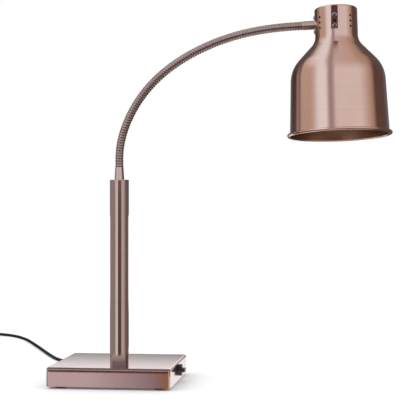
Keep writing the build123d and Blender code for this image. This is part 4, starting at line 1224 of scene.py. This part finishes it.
ROUND_Z = (3.0, 3.0, 1400.0)
ALONG_X = (3.0, 1400.0, 1400.0)
EVERY_WAY = (900.0, 900.0, 900.0)
FINE_CUT = 0.000002
SHADE_SPREAD = 0.7
TUBE_TINT = (0.71, 0.545, 0.495)
TUBE_DULL = (0.68, 0.505, 0.455)

# Each metal has its tint, its dulled tint, a roughness, the scale of its lines and their depth.
METALS = {
    "copper_shade": ((0.775, 0.54, 0.475), (0.745, 0.505, 0.44), 0.16, ROUND_Z, FINE_CUT),
    # The shade's inner wall: plainer, rougher copper, with a darker tint that is painted shade.
    "copper_inside_painted_shade": ((0.64, 0.40, 0.29), (0.54, 0.33, 0.24), 0.28, ROUND_Z, FINE_CUT),
    "copper_tube": (TUBE_TINT, TUBE_DULL, 0.08, ROUND_Z, FINE_CUT / 2),
    "copper_sheet": ((0.78, 0.59, 0.53), (0.75, 0.555, 0.495), 0.09, ALONG_X, FINE_CUT / 2),
    "copper_turned": (TUBE_TINT, TUBE_DULL, 0.20, EVERY_WAY, FINE_CUT),
    "copper_hose": ((0.52, 0.40, 0.37), (0.40, 0.29, 0.27), 0.24, EVERY_WAY, FINE_CUT),
    "steel_plate": ((0.56, 0.56, 0.57), (0.46, 0.46, 0.47), 0.38, ALONG_X, FINE_CUT),
    "bright_screws": ((0.68, 0.70, 0.79), (0.60, 0.62, 0.71), 0.36, EVERY_WAY, FINE_CUT / 3),
    "light_alloy": ((0.66, 0.66, 0.68), (0.56, 0.56, 0.58), 0.35, ROUND_Z, FINE_CUT),
    "brass": ((0.80, 0.65, 0.36), (0.66, 0.50, 0.26), 0.28, EVERY_WAY, FINE_CUT / 2),
    "bulb_cap": ((0.74, 0.72, 0.66), (0.62, 0.60, 0.54), 0.25, EVERY_WAY, FINE_CUT / 2),
    "mirror_funnel": ((0.86, 0.86, 0.87), (0.80, 0.80, 0.82), 0.10, EVERY_WAY, FINE_CUT / 9),
}
# Each plain finish has two colours, a roughness, the scale of its grain and the grain's depth.
PLAINS = {
    "cast_iron": ((0.05, 0.05, 0.055), (0.08, 0.075, 0.07), 0.65, 900.0, 0.00012),
    "white_ceramic": ((0.86, 0.85, 0.80), (0.80, 0.78, 0.72), 0.22, 300.0, 0.00001),
    "white_plastic": ((0.82, 0.82, 0.80), (0.76, 0.76, 0.73), 0.42, 1500.0, 0.00001),
    "black_plastic": ((0.016, 0.016, 0.019), (0.024, 0.024, 0.028), 0.32, 2500.0, 0.00001),
    "pale_inlay": ((0.82, 0.82, 0.79), (0.74, 0.74, 0.70), 0.45, 2500.0, 0.00001),
    "black_rubber": ((0.020, 0.020, 0.022), (0.032, 0.031, 0.032), 0.55, 2500.0, 0.00002),
    "black_cord": ((0.011, 0.015, 0.028), (0.016, 0.020, 0.034), 0.6, 2000.0, 0.00002),
    "bulb_glass": ((0.90, 0.88, 0.84), (0.86, 0.84, 0.80), 0.38, 700.0, 0.00003),
}
EXTRAS = {
    "black_cord": {"Specular_IOR_Level": 0.15},
    "bulb_glass": {"Transmission_Weight": 0.35, "IOR": 1.45},
}

for name, (colour, dulled, roughness, lines, depth) in METALS.items():
    values = {"Lines": lines, **two_colours(colour, dulled, roughness)}
    tree, shader = finish_from(name, BRUSH_LINES, values, depth, Metallic=1.0)
    if name == "copper_shade":
        shader.inputs["Anisotropic"].default_value = SHADE_SPREAD
        upwards = add_node(tree, "ShaderNodeCombineXYZ", X=0.0, Y=0.0, Z=1.0)
        link(tree, upwards.outputs["Vector"], shader.inputs["Tangent"])
for name, (colour, second, roughness, size, depth) in PLAINS.items():
    values = {"Size": size, **two_colours(colour, second, roughness)}
    finish_from(name, FINE_GRAIN, values, depth, **EXTRAS.get(name, {}))

# %% [markdown]
# ## Putting the finishes on
# Every piece asks for a finish by the name of its slot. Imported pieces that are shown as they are
# take theirs from a short list. The bulb has two finishes: the mirror on its funnel and the
# frosting on its face, which looks down.

# %% Dress every piece
PACKED_FINISHES = {
    "steel_plate": (
        "base_floor", "floor_spacers", "stud_washer", "stud_nut", "post_foot_plug", "post_stud",
        "holder_bracket", "ferrule_nut", "gland_nut", "switch_nut",
    ),
    "cast_iron": ("ballast_plate",),
    "bright_screws": ("floor_screws", "foot_screws", "bracket_nuts"),
    "light_alloy": ("arm_clamp",),
    "brass": ("holder_nipple", "nipple_nut", "screw_shell", "switch_shaft", "plug_pins"),
    "bulb_cap": ("bulb_cap",),
    "white_ceramic": ("lamp_holder",),
    "white_plastic": ("terminal_block",),
    "black_plastic": ("rotary_switch", "cable_gland"),
    "pale_inlay": ("knob_pointer",),
}


def dress(piece, *names):
    """Gives a piece its finishes in place of any that it came with."""
    piece.data.materials.clear()
    for name in names:
        piece.data.materials.append(finishes[name])


for finish, packed in PACKED_FINISHES.items():
    for node in packed:
        dress(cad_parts[node], finish)
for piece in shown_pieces():
    if "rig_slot" in piece:
        dress(piece, piece["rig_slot"])
# The shade's inner faces take the second finish, whose darker tint is painted shade for the inside
# of the shade.
dress(shade, "copper_shade", "copper_inside_painted_shade")
to_shade = HEAD.inverted()
for face in shade.data.polygons:
    out = to_shade.to_3x3() @ face.normal
    place = to_shade @ face.center
    under_a_top = place.z < CAN_TOP / 2 and out.z < FACING_DOWN
    inward = out.x * place.x + out.y * place.y < 0 or under_a_top
    near_bead = place.z < RIM_HEIGHT + 2 * BEAD_RADIUS and hypot(place.x, place.y) > RIM_RADIUS
    face.material_index = 1 if inward and not near_bead else 0
dress(bulb, "bulb_glass", "mirror_funnel")
for face in bulb.data.polygons:
    face.material_index = 0 if face.center.z < (HEAD @ Vector((0, 0, bulb_edge))).z else 1
print("finishes", len(finishes))

# %% [markdown]
# ## The studio
# The lamp stands on a white floor against white. Polished metal shows what stands around it, so
# the world has bright panels and dark flags, seen only in reflections. The camera sees plain
# white, and matt surfaces get plain even light. A stripe on round metal runs straight down where
# the panel's edge follows the bisector between the lamp's front and the ray. The panels are
# therefore laid out by the angle of that bisector: once for the shade's upright walls, once for
# its shoulder and once, turned a little, for the post. More darkness stands high at the back and
# low in front, each faded in by how far the ray points back or up.

# %% Name the panels
PANEL = (0.95, 1.06, 1.12)
SOFT = (0.82, 0.84, 0.85)
WARM = (0.585, 0.51, 0.455)
AMBER = (0.60, 0.50, 0.42)
TAN = (0.45, 0.34, 0.26)
LINE = (0.40, 0.35, 0.36)
DIM = (0.37, 0.29, 0.25)
FLAG = (0.12, 0.08, 0.065)
BLACK = (0.06, 0.045, 0.042)
EDGE = (0.15, 0.155, 0.185)
GREY = (0.32, 0.31, 0.32)
SHADOW = (0.17, 0.15, 0.145)
HAZE = (0.66, 0.60, 0.58)
PALE = (0.60, 0.56, 0.55)
BROWN = (0.34, 0.24, 0.15)
WHITE = (1, 1, 1)

ROUND_THE_SHADE = (
    (-90, EDGE),
    (-76, EDGE),
    (-71, BLACK),
    (-61, BLACK),
    (-58, DIM),
    (-54, DIM),
    (-52.5, FLAG),
    (-50, WARM),
    (-35, AMBER),
    (-31, HAZE),
    (-24, PANEL),
    (-15, PANEL),
    (-11, LINE),
    (-7.5, LINE),
    (-3, SOFT),
    (26, SOFT),
    (37, WARM),
    (43, TAN),
    (48, FLAG),
    (66, FLAG),
    (74, EDGE),
)
OVER_THE_SHADE = (
    (-90, EDGE),
    (-68, EDGE),
    (-60, DIM),
    (-52, HAZE),
    (-38, PANEL),
    (-19, PANEL),
    (-12, LINE),
    (-9, LINE),
    (-5, HAZE),
    (0, HAZE),
    (20, AMBER),
    (32, TAN),
    (47, BROWN),
    (58, SHADOW),
    (68, GREY),
    (90, EDGE),
)
ROUND_THE_POST = (
    (-90, EDGE),
    (-70, GREY),
    (-27, GREY),
    (-21, SOFT),
    (-11, SOFT),
    (-7, FLAG),
    (9, FLAG),
    (14, PALE),
    (25, PALE),
    (42, SHADOW),
    (90, SHADOW),
)
ACROSS_THE_TABLE = (
    (-0.12, (0.62, 0.56, 0.60)),
    (-0.04, (0.58, 0.53, 0.57)),
    (0.07, (0.34, 0.29, 0.33)),
    (0.095, (0.30, 0.21, 0.21)),
    (0.11, (0.33, 0.18, 0.10)),
)
BACK_UP = (0.12, 0.10, 0.09)
LOW_DOWN = (0.10, 0.08, 0.08)
STRAIGHT_DOWN = (0.55, 0.50, 0.50)
POST_TURN = 10.8
ANGLES = (-90, 90)

# Each fade runs from no share to a full share, by the up or back part of a ray's direction.
OVERHEAD_FADE = (0.50, 0.88)
BEHIND_FADE = (0.45, 0.60)
HIGH_FADE = (0.25, 0.40)
POST_FADE = (0.06, 0.04)
LOW_FADE = (-0.15, -0.19)
DOWN_FADE = (-0.70, -0.85)


# %% Build the world
def plain_colour(tree, colour):
    """A colour as a socket."""
    made = tree.nodes.new("ShaderNodeRGB")
    made.outputs[0].default_value = (*colour, 1)
    return made.outputs[0]


def ramp(tree, value, low, high, stops):
    """A colour ramp over a value that runs from low to high."""
    made = add_node(tree, "ShaderNodeValToRGB", Fac=scaled(tree, value, low, high))
    places = made.color_ramp.elements
    while len(places) < len(stops):
        places.new(0.5)
    for place, (at, colour) in zip(places, stops):
        place.position = (at - low) / (high - low)
        place.color = (*colour, 1)
    return made.outputs["Color"]


def parts_of(tree, vector):
    """The three parts of a vector."""
    return add_node(tree, "ShaderNodeSeparateXYZ", Vector=vector).outputs


def bisector(tree, direction):
    """The angle in degrees of the bisector between a direction and the front."""
    right, back, up = parts_of(tree, direction)
    angle = calculated(tree, "ARCTAN2", right, calculated(tree, "SUBTRACT", 1.0, back))
    return calculated(tree, "MULTIPLY", angle, 180 / pi)


def studio_colour(tree):
    """What polished metal sees in each direction."""
    where = tree.nodes.new("ShaderNodeTexCoord").outputs["Generated"]
    right, back, up = parts_of(tree, where)
    turn = {"rotation_type": "Z_AXIS", "Vector": where, "Angle": -radians(POST_TURN)}
    turned_ray = add_node(tree, "ShaderNodeVectorRotate", **turn).outputs["Vector"]
    shade_angle, post_angle = bisector(tree, where), bisector(tree, turned_ray)
    behind = scaled(tree, back, *BEHIND_FADE)
    layers = (
        (scaled(tree, up, *OVERHEAD_FADE), ramp(tree, shade_angle, *ANGLES, OVER_THE_SHADE)),
        (
            calculated(tree, "MULTIPLY", behind, scaled(tree, up, *HIGH_FADE)),
            plain_colour(tree, BACK_UP),
        ),
        (scaled(tree, up, *POST_FADE), ramp(tree, post_angle, *ANGLES, ROUND_THE_POST)),
        (scaled(tree, up, *LOW_FADE), plain_colour(tree, LOW_DOWN)),
        (scaled(tree, up, *DOWN_FADE), plain_colour(tree, STRAIGHT_DOWN)),
    )
    seen = ramp(tree, shade_angle, *ANGLES, ROUND_THE_SHADE)
    for share, colour in layers:
        seen = mixed(tree, share, seen, colour)
    return seen


world = bpy.data.worlds.new("studio")
bpy.context.scene.world = world
world.use_nodes = True
world_tree = world.node_tree
ray = world_tree.nodes.new("ShaderNodeLightPath").outputs
white = plain_colour(world_tree, WHITE)
for_metal = mixed(world_tree, ray["Is Glossy Ray"], white, studio_colour(world_tree))
through = calculated(world_tree, "MAXIMUM", ray["Is Camera Ray"], ray["Is Transmission Ray"])
seen_colour = mixed(world_tree, through, for_metal, white)
link(world_tree, seen_colour, world_tree.nodes["Background"].inputs["Color"])

# %% [markdown]
# ## Floor, lamp and boards
# The floor is white to the camera and keeps a faint shadow. One broad lamp from the upper left
# gives matt pieces a soft direction. A few boards stand close to the lamp, where only reflections
# see them. They do what the far panels can't. One draws the can's dark stripe. One behind the
# base lets its top fade from grey at the back to white at the front. One before the base colours
# its front face, and its dark rim draws the line under the fold. One lies beside the base for its
# right side. One lies flat before the lamp and shows only its underside: it darkens the post's
# foot, the foot's mirror image in the base and the upper line of the fold.

# %% Place the floor, the lamp and the boards
FLOOR_SIZE = 80.0
FLOOR_LIFT = 0.01
STRIPE_SIZE = (0.0158, 0.060)
STRIPE_PLACE = (0.4262, -0.075, 0.716)
STRIPE_COLOUR = (0.10, 0.06, 0.055)
BACKDROP_SIZE = (0.9, 0.31)
BACKDROP_PLACE = (-0.10, 0.5, 0.175)
BACK_FOOT = (0.28, 0.265, 0.28)
BACK_TOP = (1.03, 1.05, 1.08)
BACK_FADE = (0.087, 0.129)
GLOW_SIZE = (0.36, 0.0338)
GLOW_PLACE = (-0.04, -0.145, 0.0169)
GLOW_ENDS = (-0.25, 0.15)
RIM_LINE = (0.12, 0.05, 0.025)
RIM_FADE = (0.0285, 0.0300)
TABLE_SIZE = (0.18, 0.67)
TABLE_PLACE = (0.21, 0.215, 0.001)
FOOT_SHADE_SIZE = (1.0, 0.5)
FOOT_SHADE_PLACE = (0.0, -0.275, 0.08)
FOOT_FAR = (0.54, 0.58, 0.60)
FOOT_NEAR = (0.18, 0.165, 0.21)
FOOT_FADE = (0.38, 0.35)


def staged_plane(name, side):
    """A square plane that belongs to the stage, and its material's node tree."""
    select_only()
    bpy.ops.mesh.primitive_plane_add(size=side)
    plane = bpy.context.object
    plane.name = name
    material, tree = new_material(name)
    plane.data.materials.append(material)
    return plane, tree


def white_floor():
    floor, tree = staged_plane("white_floor", FLOOR_SIZE)
    floor.visible_glossy = False
    inputs = tree.nodes["Principled BSDF"].inputs
    inputs["Base Color"].default_value = (*WHITE, 1)
    inputs["Roughness"].default_value = 1.0
    inputs["Specular IOR Level"].default_value = 0.0
    inputs["Emission Color"].default_value = (*WHITE, 1)
    camera_ray = tree.nodes.new("ShaderNodeLightPath").outputs["Is Camera Ray"]
    lift = calculated(tree, "MULTIPLY", camera_ray, FLOOR_LIFT)
    link(tree, lift, inputs["Emission Strength"])


def board(name, size, place, paint, upright=True, one_sided=False):
    """A board that shows only in reflections, with the colour that paint gives for a place."""
    piece, tree = staged_plane(name, 1)
    piece.rotation_euler = (pi / 2 if upright else 0, 0, 0)
    piece.scale = (*size, 1)
    piece.location = place
    piece.visible_camera = piece.visible_diffuse = False
    piece.visible_shadow = piece.visible_transmission = False
    tree.nodes.remove(tree.nodes["Principled BSDF"])
    spot = tree.nodes.new("ShaderNodeNewGeometry").outputs
    colour = paint(tree, spot["Position"])
    shine = add_node(tree, "ShaderNodeEmission", Color=colour).outputs["Emission"]
    if one_sided:
        clear = tree.nodes.new("ShaderNodeBsdfTransparent").outputs["BSDF"]
        side = tree.nodes.new("ShaderNodeMixShader")
        for socket, source in zip(side.inputs, (spot["Backfacing"], clear, shine)):
            link(tree, source, socket)
        shine = side.outputs["Shader"]
    link(tree, shine, tree.nodes["Material Output"].inputs["Surface"])


def faded(tree, value, span, first, second):
    """A colour that goes from the first to the second while a value runs over a span."""
    share = scaled(tree, value, *span)
    return mixed(tree, share, plain_colour(tree, first), plain_colour(tree, second))


def stripe_paint(tree, place):
    return plain_colour(tree, STRIPE_COLOUR)


def white_paint(tree, place):
    return plain_colour(tree, WHITE)


def back_paint(tree, place):
    return faded(tree, parts_of(tree, place)["Z"], BACK_FADE, BACK_FOOT, BACK_TOP)


def glow_paint(tree, place):
    parts = parts_of(tree, place)
    glow = ramp(tree, parts["X"], *GLOW_ENDS, ACROSS_THE_TABLE)
    return mixed(tree, scaled(tree, parts["Z"], *RIM_FADE), glow, plain_colour(tree, RIM_LINE))


def foot_paint(tree, place):
    away = add_node(tree, "ShaderNodeVectorMath", operation="LENGTH")
    link(tree, place, away.inputs[0])
    return faded(tree, away.outputs["Value"], FOOT_FADE, FOOT_FAR, FOOT_NEAR)


white_floor()
board("foot_shade", FOOT_SHADE_SIZE, FOOT_SHADE_PLACE, foot_paint, upright=False, one_sided=True)
board("can_stripe", STRIPE_SIZE, STRIPE_PLACE, stripe_paint)
board("base_backdrop", BACKDROP_SIZE, BACKDROP_PLACE, back_paint)
board("front_glow", GLOW_SIZE, GLOW_PLACE, glow_paint)
board("side_glow", TABLE_SIZE, TABLE_PLACE, white_paint, upright=False)

LAMP_PLACE = (-1.6, -1.2, 2.2)
LAMP_SIZE = 1.6
LAMP_POWER = 12.0
bpy.ops.object.light_add(type="AREA", location=LAMP_PLACE)
soft_lamp = bpy.context.object
soft_lamp.data.size = LAMP_SIZE
soft_lamp.data.energy = LAMP_POWER
soft_lamp.rotation_euler = Vector(LAMP_PLACE).to_track_quat("Z", "Y").to_euler()
soft_lamp.visible_glossy = False
bpy.context.scene.view_settings.view_transform = "Standard"
